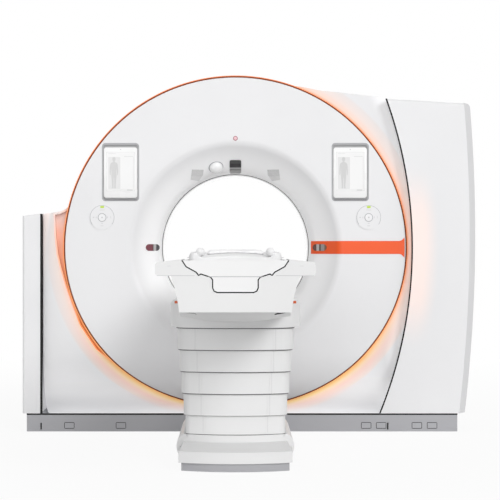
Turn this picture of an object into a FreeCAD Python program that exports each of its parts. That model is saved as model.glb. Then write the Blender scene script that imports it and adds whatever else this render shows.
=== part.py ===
import FreeCAD, Part
import math
import os

# A computed-tomography scanner: a tilting gantry between two floor-standing towers, and a patient table on
# a telescopic column in front of it.  Millimetres, +Z up, X across the bore, +Y from the table towards the
# gantry.  The origin is on the floor, straight below the isocentre.  Gantry shapes are drawn about the
# isocentre and lifted by ISO_Z when they are written; table shapes are drawn from the floor.

V = FreeCAD.Vector
ORIGIN = V(0, 0, 0)
X_AXIS = V(1, 0, 0)
Y_AXIS = V(0, 1, 0)
Z_AXIS = V(0, 0, 1)

# ---- fits and small clearances --------------------------------------------------------------------------
SEAT_GAP = 0.3           # between curved faces that lie on or in one another
TRUNNION_PLAY = 0.05     # radial play of the tilt shafts in their bearings
SLOT_GAP = 5.0           # dark seam round the sliding tabletop

# ---- gantry: overall ------------------------------------------------------------------------------------
ISO_Z = 1003.0           # height of the isocentre above the floor
BORE_R = 410.0
FACE_Y = -450.0          # flat front face of the tilting part
HULL_SETBACK = 20.0      # the body lies this far behind the front face, also where both lean back
HULL_BACK_Y = 430.0
HULL_WALL = 12.0
DRUM_R = 926.0
LEFT_X = -1056.0         # flat left side of the tilting part
LEFT_TOP_Z = 187.0       # top of the left shoulder, above the isocentre
UNDERSIDE_R = 948.0      # round underside, centred on the tilt axis
BALL_R = 2445.0          # round right side, a ball centred on the tilt axis
BALL_REACH = 1009.0      # where the ball crosses the tilt axis
MOVING_GAP = 10.0        # dark gap between the tilting part and the towers

# ---- front cover ----------------------------------------------------------------------------------------
DISC_R = 934.0           # upper half of the round front cover
DISC_LOW_R = 884.0       # lower half-axis: the lower half is a flat oval
DISC_SKIN = 22.0
DISC_EDGE = 5.0
LEAN_START_Z = -580.0    # below this the face curves back
LEAN_DEPTH = 150.0       # how far back the lowest point of the rim lies
RING_WIDTH = 7.0
RING_FRONT = 3.0         # the light ring is set back from the face by this much
RING_BACK = 19.0
CHANNEL_GAP = 5.0        # open slit between the light ring and the body behind it
CHANNEL_DEPTH = 75.0
CHANNEL_WALL = 8.0
MOUTH_R = 571.0          # where the funnel meets the face
FUNNEL_BLEND_R = 150.0
FRONT_BLEND_STEPS = 3
BACK_BLEND_STEPS = 2
FUNNEL_WALL = 5.0
THROAT_FRONT_Y = -120.0
THROAT_BACK_Y = 60.0
BACK_FACE_Y = 445.0
BACK_MOUTH_R = 560.0

# ---- controls and displays on the front -----------------------------------------------------------------
BAR_LOW_Z = -34.0
BAR_HIGH_Z = 37.0
BAR_THICK = 3.0
BAR_INNER_R = 424.0
DOCK_X = 630.0           # middle of each tablet, either side of the bore
DOCK_Z = 412.0
DOCK_W = 196.0
DOCK_H = 312.0
DOCK_DEPTH = 16.0
TABLET_W = 184.0
TABLET_H = 276.0
TABLET_T = 9.0
PANEL_X = 731.0
PANEL_Z = 166.0
PANEL_R = 67.0
PANEL_T = 4.0
BUTTON_R = 20.0
BUTTON_TRAVEL = 2.0
DOME_X = -108.0
DOME_Z = 448.0
DOME_R = 39.0
DOME_STEPS = 2
STATUS_Z = 600.0
STATUS_R = 12.5

# ---- towers and floor frame -----------------------------------------------------------------------------
TOWER_Y = 490.0
TOWER_WALL = 8.0
LEFT_TOWER_X = -1163.0
RIGHT_EDGE_X = 1319.0    # widest point of the right tower
RIGHT_EDGE_Z = 1080.0    # its height above the floor
RIGHT_EDGE_R = 8400.0    # large arc of the right side in front view
RIGHT_STRIP = 40.0       # width of the slanted strip along the right edge
RIGHT_TOP_RISE = 819.0   # top of the right tower above the isocentre, at its inner end
RIGHT_TOP_SLOPE = 0.058
PLINTH_H = 98.0
PLINTH_T = 16.0
PLINTH_LEFT_X = -1139.0
PLINTH_RIGHT_X = 1212.0
FRAME_H = 50.0
FRAME_BEAM_Y = 250.0
FRAME_BEAM_W = 120.0
ANCHOR_X = 1097.5
ANCHOR_Y = 360.0
ANCHOR_R = 9.0
PLATE_R = 900.0
PEDESTAL_X = 1075.0      # inner face of the left pedestal plate
PEDESTAL_T = 45.0
PEDESTAL_BOSS = 30.0
RIGHT_PEDESTAL_X = 1035.0
TRUNNION_R = 60.0

# ---- rotor ----------------------------------------------------------------------------------------------
ROTOR_R = 870.0
ROTOR_FRONT_Y = -200.0
ROTOR_PLATE_Y = 100.0
ROTOR_PLATE_T = 30.0
STATOR_Y = 175.0
STATOR_T = 40.0
BEARING_R = 500.0        # running surface between the two bearing rings
BEARING_RING = 45.0
FOCUS_Z = 640.0          # centre of the X-ray source above the isocentre

# ---- table ----------------------------------------------------------------------------------------------
TABLE_FOOT_Y = -2960.0
TABLE_HEAD_Y = -640.0
TOP_HEAD_Y = -600.0
WING_LENGTH = 400.0
WING_HALF_W = 315.5
WING_LOW_Z = 889.0
WING_HIGH_Z = 953.0
WING_SLOPE = 11.0        # fall of its top towards the outer end
BODY_LOW_Z = 746.0
BODY_HIGH_Z = 889.0
BODY_TOP_HALF_W = 255.0
BODY_LOW_HALF_W = 221.0
BODY_WALL = 8.0
RIM_Z = 944.0
DISH_HALF_W = 207.0
DISH_LOW_Z = 886.0
DISH_SAG = 28.0
CARRIAGE_HALF_W = 87.0
CARRIAGE_LOW_Z = 826.0
CARRIAGE_LENGTH = 500.0
MATTRESS_HALF_W = 190.0
MATTRESS_TOP_Z = 974.0   # crown of its middle
MATTRESS_SIDE_Z = 990.0  # top of the raised sides
CROWN_HALF_W = 150.0
CROWN_RISE = 10.0
ROLL_R = 17.0
CUSHION_TOP_Z = 993.0
CUSHION_LENGTH = 320.0
COLUMN_Y = -1475.0
COLUMN_HALF_L = 500.0
COLUMN_HALF_W = 275.0
COLUMN_BULGE = 55.0      # how far the front and back of the column curve out
COLUMN_STEP = 9.0        # each section is this much smaller all round than the one above
COLUMN_WALL = 5.0
SECTIONS = 6
SECTION_PITCH = 100.6
SECTION_HEIGHT = 114.0
SECTION_TOP_EDGE_Z = 636.0
BASE_FRONT_Y = -2113.0
BASE_HALF_W = 256.0
BASE_SWELL_HALF_W = 271.0  # rounded sides of the base beside the column
BASE_PLINTH_Z = 37.0
BASE_LIP_Z = 88.0
BASE_DECK_Z = 113.0
COUCH_FRAME_HALF_W = 215.0
COUCH_ANCHOR_X = 180.0
COUCH_ANCHOR_Y = 480.0
LIFT_POST_SPACING = 300.0
LIFT_POST_HALF = 80.0
LIFT_POST_WALL = 15.0
LIFT_POST_STAGE = 250.0
LIFT_POST_LAP = 30.0
COLUMN_ROOF = 6.0
LIP_HEIGHT = 8.0
BELLY_LENGTH = 540.0     # from the front of the column to the tip of its nose
BELLY_DEPTH = 79.0
BELLY_HALF_W = 236.0
BELLY_KEEL_W = 185.0     # half width of its round bottom
CHEEK_HALF_W = 300.0
CHEEK_LOW_Z = 640.0
CHEEK_HIGH_Z = 763.0
CHEEK_CORNER_R = 110.0
CHEEK_SETBACK = 3.0      # the shoulders lie this far behind the front and back of the sections
COLUMN_CORNER_R = 85.0
COLUMN_SEAM_X = 183.0    # upright seams on the front and back of the sections
SEAM_W = 3.0


# ---- helpers --------------------------------------------------------------------------------------------
def box(x, y, z):
    """A block from (low, high) pairs."""
    return Part.makeBox(x[1] - x[0], y[1] - y[0], z[1] - z[0], V(x[0], y[0], z[0]))


def cylinder(axis, radius, low, high, across=(0.0, 0.0)):
    """A cylinder along X, Y or Z; across gives the other two coordinates of its axis, in X, Y, Z order."""
    a, b = across
    start = {"x": V(low, a, b), "y": V(a, low, b), "z": V(a, b, low)}[axis]
    direction = {"x": X_AXIS, "y": Y_AXIS, "z": Z_AXIS}[axis]
    return Part.makeCylinder(radius, high - low, start, direction)


def ring(axis, outer, inner, low, high, across=(0.0, 0.0)):
    return cylinder(axis, outer, low, high, across).cut(cylinder(axis, inner, low - 1, high + 1, across))


def arc(a, mid, b):
    return Part.Arc(a, mid, b).toShape()


def line(a, b):
    return Part.LineSegment(a, b).toShape()


def face_of(edges):
    return Part.Face(Part.Wire(edges))


def polygon_xz(points, y=0.0):
    corners = [V(x, y, z) for x, z in points]
    return Part.Face(Part.makePolygon(corners + corners[:1]))


def polygon_yz(points, x=0.0):
    corners = [V(x, y, z) for y, z in points]
    return Part.Face(Part.makePolygon(corners + corners[:1]))


def rounded_rect_xz(cx, cz, width, height, radius, y):
    """A flat rectangle with round corners, facing along Y."""
    blank = box((cx - width / 2, cx + width / 2), (y, y + 1.0), (cz - height / 2, cz + height / 2))
    upright = [e for e in blank.Edges if abs(e.tangentAt(e.FirstParameter).y) > 0.99]
    solid = blank.makeFillet(radius, upright)
    flat = min(solid.Faces, key=lambda f: f.CenterOfMass.y)
    return Part.Face(flat.OuterWire)


def prism(face, low, high):
    """Extrude a face drawn at y = 0 from y = low to y = high."""
    moved = face.copy()
    moved.translate(V(0, low, 0))
    return moved.extrude(V(0, high - low, 0))


def slab(face, y0, thickness):
    """Extrude a face along +Y from where it already lies."""
    moved = face.copy()
    moved.translate(V(0, y0 - face.BoundBox.YMin, 0))
    return moved.extrude(V(0, thickness, 0))


def mirror_x(shape):
    return shape.mirror(ORIGIN, X_AXIS)


def largest(shape):
    return max(shape.Solids, key=lambda s: s.Volume)


def write(name, shape):
    """Write one sub-part, as one solid or a group of separate solids."""
    solids = shape.Solids
    whole = solids[0] if len(solids) == 1 else Part.makeCompound(solids)
    if not whole.isValid():
        print("not valid:", name)
    whole.exportStep("parts/" + name + ".step")
    print(name, len(solids), round(whole.Volume / 1e6, 2), "litres")


def write_gantry(name, shape):
    """Gantry shapes are drawn about the isocentre."""
    lifted = shape.copy()
    lifted.translate(V(0, 0, ISO_Z))
    write(name, lifted)


# ---- gantry: outer form ---------------------------------------------------------------------------------
def hull_outline(inset):
    """Front view of the tilting part: left shoulder, round top, sloping right shoulder."""
    fillet_end = math.radians(18.3)
    crown_end = math.radians(75.6)
    left_top = V(LEFT_X, 0, LEFT_TOP_Z)
    notch = V(LEFT_X + 66, 0, LEFT_TOP_Z + 8)
    drum_left = V(-DRUM_R * math.cos(fillet_end), 0, DRUM_R * math.sin(fillet_end))
    drum_top = V(0, 0, DRUM_R)
    drum_right = V(DRUM_R * math.cos(crown_end), 0, DRUM_R * math.sin(crown_end))
    shoulder = V(455, 0, 866)
    far = V(1110, 0, 794)
    edges = [
        line(V(LEFT_X, 0, -1000), left_top),
        line(left_top, notch),
        arc(notch, V(LEFT_X + 134, 0, LEFT_TOP_Z + 36), drum_left),
        arc(drum_left, drum_top, drum_right),
        arc(drum_right, V(345, 0, 887), shoulder),
        line(shoulder, far),
        line(far, V(1110, 0, -1000)),
        line(V(1110, 0, -1000), V(LEFT_X, 0, -1000)),
    ]
    outline = face_of(edges)
    if inset:
        outline = outline.makeOffset2D(-inset)
    return outline


def ball(radius):
    """The ball that bounds the tilting part on the right; every radius shares the centre on the tilt axis."""
    centre = V(BALL_REACH - BALL_R, 0, 0)
    whole = Part.makeSphere(radius, centre, Z_AXIS)
    whole.rotate(centre, Z_AXIS, 180)
    return whole


def below_underside(radius):
    """What lies outside the round underside, to be cut away."""
    low = box((-1300, 1300), (-600, 600), (-1200, -500))
    return low.cut(cylinder("x", radius, -1310, 1310))


def hull(inset):
    front_y = FACE_Y + HULL_SETBACK + inset
    body = prism(hull_outline(inset), front_y, HULL_BACK_Y - inset).common(behind_face(HULL_SETBACK + inset))
    return body.common(ball(BALL_R - inset)).cut(below_underside(UNDERSIDE_R - inset))


def disc_outline(grow):
    """Front view of the round cover: half circle above, flat oval below."""
    radius = DISC_R + grow
    low = DISC_LOW_R + grow
    upper = Part.Arc(Part.Circle(ORIGIN, V(0, -1, 0), radius), 0, math.pi).toShape()
    if abs(upper.valueAt(upper.FirstParameter).x - radius) > 1e-6 or upper.CenterOfMass.z < 0:
        upper = arc(V(radius, 0, 0), V(0, 0, radius), V(-radius, 0, 0))
    oval = Part.Ellipse(V(radius, 0, 0), V(0, 0, -low), ORIGIN)
    lower = Part.Arc(oval, 0, math.pi).toShape()
    return face_of([upper, lower])


def lean_radius():
    drop = DISC_LOW_R + RING_WIDTH + LEAN_START_Z
    return (LEAN_DEPTH ** 2 + drop ** 2) / (2 * LEAN_DEPTH)


def lean_arc(depth):
    """The curved foot of the front face at a depth behind it: its upper end, middle and lower end."""
    radius = lean_radius()
    centre_y = FACE_Y + radius
    swing = math.asin(min((UNDERSIDE_R + 40 + LEAN_START_Z) / radius, 0.98))
    points = []
    for share in (0, 0.5, 1):
        turn = swing * share
        r = radius - depth
        points.append(V(-1200, centre_y - r * math.cos(turn), LEAN_START_Z - r * math.sin(turn)))
    return points


def face_band(near, far):
    """Everything between two depths behind the front face, following its curved lower part."""
    top = 1000.0
    a = lean_arc(near)
    b = lean_arc(far)
    high_near = V(-1200, FACE_Y + near, top)
    high_far = V(-1200, FACE_Y + far, top)
    edges = [
        line(high_near, a[0]),
        arc(a[0], a[1], a[2]),
        line(a[2], b[2]),
        arc(b[2], b[1], b[0]),
        line(b[0], high_far),
        line(high_far, high_near),
    ]
    return face_of(edges).extrude(V(2400, 0, 0))


def behind_face(depth):
    """Everything behind a depth, following the curved lower part of the front face."""
    top = 1000.0
    back = 600.0
    a = lean_arc(depth)
    high = V(-1200, FACE_Y + depth, top)
    low_back = V(-1200, back, a[2].z)
    high_back = V(-1200, back, top)
    edges = [
        line(high, a[0]),
        arc(a[0], a[1], a[2]),
        line(a[2], low_back),
        line(low_back, high_back),
        line(high_back, high),
    ]
    return face_of(edges).extrude(V(2400, 0, 0))


def channel_outline(grow):
    """Front view of the slit round the light ring, which widens to a recess beside the left shoulder."""
    slit = prism(disc_outline(SEAT_GAP + RING_WIDTH + CHANNEL_GAP + grow), -20, 20)
    beside = [(-600, 300 + grow), (-999, 230 + grow), (-1001, 195), (-995, 72), (-984, -33), (-967, -103),
              (-935, -209), (-856, -425), (-768, -557), (-629, -668.5), (-500, -560)]
    recess = prism(polygon_xz([(x - grow, z) for x, z in beside]), -20, 20)
    flat = slit.fuse(recess).removeSplitter()
    front = min(flat.Faces, key=lambda f: f.CenterOfMass.y)
    face = Part.Face(front.OuterWire)
    face.translate(V(0, 20, 0))
    return face


# ---- gantry: bore ---------------------------------------------------------------------------------------
def funnel_band(near, far, face_y, mouth_r, throat_y, steps):
    """Solid of revolution between two offsets from the bore wall, from the mouth to the throat.

    Offsets grow into the wall, away from the bore.  The wall is a 45 degree cone and a tube, joined by a
    blend of short cones that follows a round arc.
    """
    sign = 1.0 if throat_y > face_y else -1.0
    centre_r = BORE_R + FUNNEL_BLEND_R
    tangent = FUNNEL_BLEND_R * math.tan(math.radians(22.5))
    centre_y = face_y + sign * (mouth_r - BORE_R + tangent)

    def points(offset):
        blend = FUNNEL_BLEND_R - offset
        mouth = mouth_r + offset * math.sqrt(2)
        row = [V(mouth, face_y, 0)]
        for k in range(steps + 1):
            turn = math.radians(45 - 45 * k / steps)
            row.append(V(centre_r - blend * math.cos(turn), centre_y - sign * blend * math.sin(turn), 0))
        row.append(V(centre_r - blend, throat_y, 0))
        return row

    corners = points(near) + points(far)[::-1]
    return Part.Face(Part.makePolygon(corners + corners[:1])).revolve(ORIGIN, Y_AXIS, 360)


def front_band(near, far):
    return funnel_band(near, far, FACE_Y, MOUTH_R, THROAT_FRONT_Y, FRONT_BLEND_STEPS)


def back_band(near, far):
    return funnel_band(near, far, BACK_FACE_Y, BACK_MOUTH_R, THROAT_BACK_Y, BACK_BLEND_STEPS)


def make_funnels():
    write_gantry("front_funnel", front_band(0, FUNNEL_WALL))
    write_gantry("rear_funnel", back_band(0, FUNNEL_WALL))
    write_gantry("scan_window", ring("y", BORE_R + 3, BORE_R, THROAT_FRONT_Y, THROAT_BACK_Y))


# ---- gantry: covers -------------------------------------------------------------------------------------
def dock_face(side, grow=0.0):
    return rounded_rect_xz(side * DOCK_X, DOCK_Z, DOCK_W + 2 * grow, DOCK_H + 2 * grow, 16 + grow, FACE_Y)


def make_front_cover():
    cover = prism(disc_outline(0), FACE_Y - 1, FACE_Y + 400).common(face_band(0, DISC_SKIN))
    cover = cover.cut(front_band(-160, FUNNEL_WALL + SEAT_GAP))
    front_rim = [e for e in cover.Edges if e.BoundBox.XLength > 1500 and e.BoundBox.YMin < FACE_Y + 1]
    cover = cover.makeChamfer(DISC_EDGE, front_rim)
    for side in (-1, 1):
        cover = cover.cut(slab(dock_face(side, SEAT_GAP), FACE_Y - 1, DOCK_DEPTH + 1))
        cover = cover.cut(cylinder("y", BUTTON_R + 6, FACE_Y - 1, FACE_Y + 14, (side * PANEL_X, PANEL_Z)))
    write_gantry("front_cover", largest(cover))


def make_light_ring():
    outer = prism(disc_outline(SEAT_GAP + RING_WIDTH), FACE_Y - 1, FACE_Y + 400)
    inner = prism(disc_outline(SEAT_GAP), FACE_Y - 2, FACE_Y + 401)
    write_gantry("light_ring", largest(outer.cut(inner).common(face_band(RING_FRONT, RING_BACK))))


def make_channel():
    """The recessed pan behind the front cover that the light ring shines into."""
    back = CHANNEL_DEPTH + CHANNEL_WALL
    block = prism(channel_outline(-SEAT_GAP), FACE_Y, 200).common(face_band(HULL_SETBACK + 2, back))
    room = prism(channel_outline(-CHANNEL_WALL), FACE_Y - 1, 201)
    pan = block.cut(room.common(face_band(HULL_SETBACK - 5, CHANNEL_DEPTH)))
    pan = pan.cut(cylinder("y", ROTOR_R + 8, -600, 600))
    inside = prism(hull_outline(HULL_WALL + SEAT_GAP), FACE_Y - 5, 250)
    write_gantry("light_channel", largest(pan.common(inside)))


def make_hull_covers():
    shell = hull(0).cut(hull(HULL_WALL))
    opening = prism(channel_outline(0), FACE_Y, 200)
    opening = opening.common(face_band(HULL_SETBACK - 5, HULL_SETBACK + HULL_WALL + 1))
    crown = ring("y", DRUM_R + 1, DRUM_R - HULL_WALL - 1, FACE_Y + DISC_SKIN,
                 FACE_Y + HULL_SETBACK + 2 * HULL_WALL)
    crown = crown.common(box((-DRUM_R, 228), (-600, 600), (296, DRUM_R + 5)))
    shell = shell.cut(opening.cut(crown))
    shell = shell.cut(cylinder("y", 890, HULL_BACK_Y - HULL_WALL - 1, HULL_BACK_Y + 5))
    for x in ((-1100, -1000), (900, 1100)):
        shell = shell.cut(cylinder("x", TRUNNION_R + 6, x[0], x[1]))
    reach = 1400
    left_seam = -560
    right_seam = 455
    cuts = {
        "left_body_cover": box((-reach, left_seam), (-600, 600), (-1100, 1100)),
        "right_body_cover": box((right_seam, reach), (-600, 600), (-1100, 1100)),
        "top_housing": box((left_seam, right_seam), (-600, 600), (0, 1100)),
        "bottom_housing": box((left_seam, right_seam), (-600, 600), (-1100, 0)),
    }
    for name, room in cuts.items():
        write_gantry(name, largest(shell.common(room)))


def make_rear_cover():
    cover = prism(disc_outline(-20), HULL_BACK_Y, BACK_FACE_Y)
    cover = cover.cut(below_underside(UNDERSIDE_R))
    cover = cover.cut(back_band(-160, FUNNEL_WALL + SEAT_GAP))
    for z in range(-760, -600, 40):
        cover = cover.cut(box((-180, 180), (300, 500), (z, z + 14)))
    write_gantry("rear_cover", largest(cover))


# ---- gantry: trim on the front --------------------------------------------------------------------------
def on_funnel(outline, near, far):
    """A thin insert that follows the bore wall; outline is its front view."""
    return prism(outline, FACE_Y - 40, THROAT_FRONT_Y).common(front_band(-far, -near))


def make_accent_bar():
    zone = box((BAR_INNER_R, MOUTH_R), (FACE_Y - 40, THROAT_FRONT_Y), (BAR_LOW_Z, BAR_HIGH_Z))
    inner = zone.common(funnel_band(-BAR_THICK, -SEAT_GAP, FACE_Y - BAR_THICK, MOUTH_R + BAR_THICK,
                                    THROAT_FRONT_Y, FRONT_BLEND_STEPS))
    start = MOUTH_R - 1
    end = DISC_R + 1
    flare = face_of([
        line(V(start, 0, BAR_LOW_Z), V(DISC_R - 34, 0, BAR_LOW_Z)),
        arc(V(DISC_R - 34, 0, BAR_LOW_Z), V(DISC_R - 14, 0, BAR_LOW_Z - 6), V(end, 0, BAR_LOW_Z - 34)),
        line(V(end, 0, BAR_LOW_Z - 34), V(end, 0, BAR_HIGH_Z + 30)),
        arc(V(end, 0, BAR_HIGH_Z + 30), V(DISC_R - 14, 0, BAR_HIGH_Z + 6), V(DISC_R - 34, 0, BAR_HIGH_Z)),
        line(V(DISC_R - 34, 0, BAR_HIGH_Z), V(start, 0, BAR_HIGH_Z)),
        line(V(start, 0, BAR_HIGH_Z), V(start, 0, BAR_LOW_Z)),
    ])
    outer = prism(flare, FACE_Y - BAR_THICK, FACE_Y).common(prism(disc_outline(-8), FACE_Y - 20, FACE_Y + 20))
    write_gantry("accent_bar", largest(inner.fuse(outer)))


def make_windows():
    left = rounded_rect_xz(-459, 1.5, 73, 37, 18, 0)
    right = left.copy()
    right.translate(V(459 + 467, 0, 0))
    top = rounded_rect_xz(0, 450, 64, 70, 8, 0)
    inserts = [on_funnel(left, SEAT_GAP, 2.5), on_funnel(right, BAR_THICK + SEAT_GAP, BAR_THICK + 2.3),
               on_funnel(top, SEAT_GAP, 2.5)]
    write_gantry("laser_windows", Part.makeCompound(inserts))


def make_camera_dome():
    radial = math.hypot(DOME_X, DOME_Z)
    surface_y = FACE_Y + MOUTH_R - radial
    profile = [V(0, 0, -DOME_R)]
    for k in range(DOME_STEPS + 1):
        turn = math.radians(90 * k / DOME_STEPS)
        profile.append(V(DOME_R * math.cos(turn), 0, DOME_R * math.sin(turn)))
    profile.insert(1, V(DOME_R, 0, -DOME_R))
    dome = Part.Face(Part.makePolygon(profile + profile[:1])).revolve(ORIGIN, Z_AXIS, 360)
    outward = V(-DOME_X / radial, -1, -DOME_Z / radial)
    dome.Placement = FreeCAD.Placement(V(DOME_X, surface_y, DOME_Z), FreeCAD.Rotation(Z_AXIS, outward))
    write_gantry("camera_dome", largest(dome.cut(front_band(-SEAT_GAP, 120))))


def make_speakers():
    fan = [(-249, 378), (-240, 433), (-176, 433), (-180, 405), (-205, 372)]
    pair = []
    for side in (1, -1):
        outline = polygon_xz([(side * x, z) for x, z in fan])
        pair.append(on_funnel(outline, SEAT_GAP, 2.0))
    write_gantry("speaker_grilles", Part.makeCompound(pair))


def make_front_controls():
    docks = []
    tablets = []
    for side in (-1, 1):
        tray = slab(dock_face(side), FACE_Y, DOCK_DEPTH)
        tray = tray.cut(slab(dock_face(side, -4), FACE_Y - 1, DOCK_DEPTH - 3))
        docks.append(tray)
        plate = rounded_rect_xz(side * DOCK_X, DOCK_Z, TABLET_W, TABLET_H, 14, 0)
        depth = FACE_Y + DOCK_DEPTH - 4 - TABLET_T
        tablet = slab(plate, depth, TABLET_T)
        tablets.append(tablet)
    write_gantry("tablet_docks", Part.makeCompound(docks))
    write_gantry("tablets", Part.makeCompound(tablets))
    panels = []
    for side, label in ((-1, "left"), (1, "right")):
        at = (side * PANEL_X, PANEL_Z)
        panels.append(ring("y", PANEL_R, BUTTON_R, FACE_Y - PANEL_T, FACE_Y, at))
        cap = cylinder("y", BUTTON_R - SEAT_GAP, FACE_Y - PANEL_T - BUTTON_TRAVEL - 1, FACE_Y, at)
        write_gantry("stop_button_" + label, cap)
    write_gantry("control_panels", Part.makeCompound(panels))
    status = cylinder("y", STATUS_R, FACE_Y - 1.5, FACE_Y, (0, STATUS_Z))
    write_gantry("status_light", status)


# ---- gantry: structure and rotor ------------------------------------------------------------------------
def right_arm_end():
    """The flat end of the right arm, just inside the ball-shaped cover."""
    reach = BALL_R - HULL_WALL
    corner = math.hypot(215, 130)
    return BALL_REACH - BALL_R + math.sqrt(reach ** 2 - corner ** 2) - SEAT_GAP


def make_tilt_frame():
    """An eight-sided plate that carries the rotor's bearing, with an arm and a shaft on either side."""
    turns = [math.radians(22.5 + 45 * k) for k in range(8)]
    corners = [(PLATE_R * math.cos(turn), PLATE_R * math.sin(turn)) for turn in turns]
    plate = prism(polygon_xz(corners), STATOR_Y, STATOR_Y + STATOR_T)
    plate = plate.cut(cylinder("y", BEARING_R, STATOR_Y - 1, STATOR_Y + STATOR_T + 1))
    plate = plate.fuse(ring("y", BEARING_R + BEARING_RING, BEARING_R, STATOR_Y - BEARING_RING, STATOR_Y))
    inner_x = ROTOR_R + 15
    left_end = LEFT_X + HULL_WALL
    bearing = PEDESTAL_T + PEDESTAL_BOSS - SEAT_GAP
    arms = [((left_end, -inner_x), (-PEDESTAL_X - bearing, left_end)),
            ((inner_x, right_arm_end()), (right_arm_end(), RIGHT_PEDESTAL_X + bearing))]
    for block, shaft in arms:
        plate = plate.fuse(box(block, (-100, STATOR_Y + STATOR_T), (-130, 130)))
        plate = plate.fuse(cylinder("x", TRUNNION_R, shaft[0], shaft[1]))
    for side in (-1, 1):
        low, high = sorted((side * (PLATE_R - 140), side * (inner_x + 1)))
        plate = plate.fuse(box((low, high), (STATOR_Y, STATOR_Y + STATOR_T), (-130, 130)))
    write_gantry("tilt_frame", largest(plate.removeSplitter()))


def make_rotor():
    back = ROTOR_PLATE_Y + ROTOR_PLATE_T
    hub_r = BEARING_R - BEARING_RING
    plate = ring("y", ROTOR_R, hub_r, ROTOR_PLATE_Y, back)
    plate = plate.fuse(ring("y", BEARING_R - SEAT_GAP, hub_r, back, STATOR_Y + STATOR_T))
    write_gantry("rotor_plate", plate.removeSplitter())
    write_gantry("rotor_drum", ring("y", ROTOR_R, ROTOR_R - 10, ROTOR_FRONT_Y, ROTOR_PLATE_Y))
    tube = cylinder("y", 110, -150, 60, (0, FOCUS_Z)).fuse(cylinder("y", 70, 60, ROTOR_PLATE_Y, (0, FOCUS_Z)))
    tube = tube.fuse(box((-80, 80), (-30, ROTOR_PLATE_Y), (FOCUS_Z + 60, FOCUS_Z + 150)))
    collimator = box((-130, 130), (-60, 60), (455, 550))
    tube = tube.fuse(collimator).cut(box((-90, 90), (-22, 22), (400, 500)))
    write_gantry("xray_source", largest(tube.removeSplitter()))
    near = 1095
    far = 1195
    arch = cylinder("y", far, -90, 90, (0, FOCUS_Z)).cut(cylinder("y", near, -100, 100, (0, FOCUS_Z)))
    fan = polygon_xz([(0, FOCUS_Z), (-700, FOCUS_Z - 1400), (700, FOCUS_Z - 1400)])
    arch = arch.common(prism(fan, -200, 200))
    arch = arch.fuse(box((-300, 300), (90, ROTOR_PLATE_Y), (-530, -480)))
    write_gantry("detector", largest(arch))
    generator = box((-800, -520), (-150, ROTOR_PLATE_Y), (-150, 240))
    for z in range(-120, 200, 60):
        generator = generator.cut(box((-810, -792), (-140, 90), (z, z + 20)))
    write_gantry("hv_generator", generator)
    cooler = box((520, 790), (-150, ROTOR_PLATE_Y), (-100, 290))
    cooler = cooler.cut(cylinder("y", 110, -160, -120, (655, 95)))
    write_gantry("cooling_unit", cooler)


# ---- towers and floor frame -----------------------------------------------------------------------------
def right_edge_face(offset_in, offset_out):
    """Profile of the slanted right side panel, to be swept along the large arc of the right edge."""
    out = RIGHT_EDGE_R - offset_out
    inward = RIGHT_EDGE_R - offset_in
    slant = 58.0
    y = TOWER_Y - 2
    corners = [V(inward, -y, 0), V(out, -y + slant, 0), V(out, y - slant, 0), V(inward, y, 0)]
    return Part.Face(Part.makePolygon(corners + corners[:1]))


def right_edge_solid(profile):
    """Sweep a profile along the right edge, centred on the widest point."""
    half_turn = 8.0
    swept = profile.copy()
    swept.rotate(ORIGIN, Y_AXIS, half_turn)
    swept = swept.revolve(ORIGIN, Y_AXIS, -2 * half_turn)
    swept.translate(V(RIGHT_EDGE_X - RIGHT_EDGE_R, 0, RIGHT_EDGE_Z - ISO_Z))
    return swept


def right_room(inset):
    """Front view of the right tower, between the floor plinth and its sloping top."""
    top_in = RIGHT_TOP_RISE
    x0 = 760.0
    x1 = 1400.0
    top_out = top_in - RIGHT_TOP_SLOPE * (x1 - x0)
    low = PLINTH_H - ISO_Z
    return polygon_xz([(x0, low), (x1, low), (x1, top_out - inset), (x0, top_in - inset)])


def make_right_tower():
    edge_r = RIGHT_EDGE_R - RIGHT_STRIP
    centre = (RIGHT_EDGE_X - RIGHT_EDGE_R, RIGHT_EDGE_Z - ISO_Z)

    def block(inset, depth):
        body = prism(right_room(inset), -depth, depth)
        return body.common(cylinder("y", edge_r - inset, -600, 600, centre))

    outer = block(0, TOWER_Y)
    top_edges = [e for e in outer.Edges if e.BoundBox.YLength < 1 and e.BoundBox.ZMin > RIGHT_TOP_RISE - 60
                 and e.BoundBox.XLength > 300]
    outer = outer.makeFillet(20, top_edges)
    outer = outer.cut(ball(BALL_R + MOVING_GAP))
    inner = block(TOWER_WALL, TOWER_Y - TOWER_WALL).cut(ball(BALL_R + MOVING_GAP + TOWER_WALL))
    cover = outer.cut(inner).cut(cylinder("x", TRUNNION_R + 6, 900, 1100))
    write_gantry("right_tower_cover", largest(cover))
    panel = right_edge_solid(right_edge_face(RIGHT_STRIP - SEAT_GAP, 0))
    panel = panel.common(prism(right_room(0), -TOWER_Y, TOWER_Y))
    top_corner = [e for e in panel.Edges if e.BoundBox.ZMin > RIGHT_TOP_RISE - 60 and e.BoundBox.YLength > 500
                  and e.BoundBox.XMin > RIGHT_EDGE_X - 60 and e.BoundBox.XLength < 1]
    panel = panel.makeFillet(24, top_corner[-1:]) if top_corner else panel
    write_gantry("right_side_panel", largest(panel))


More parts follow.
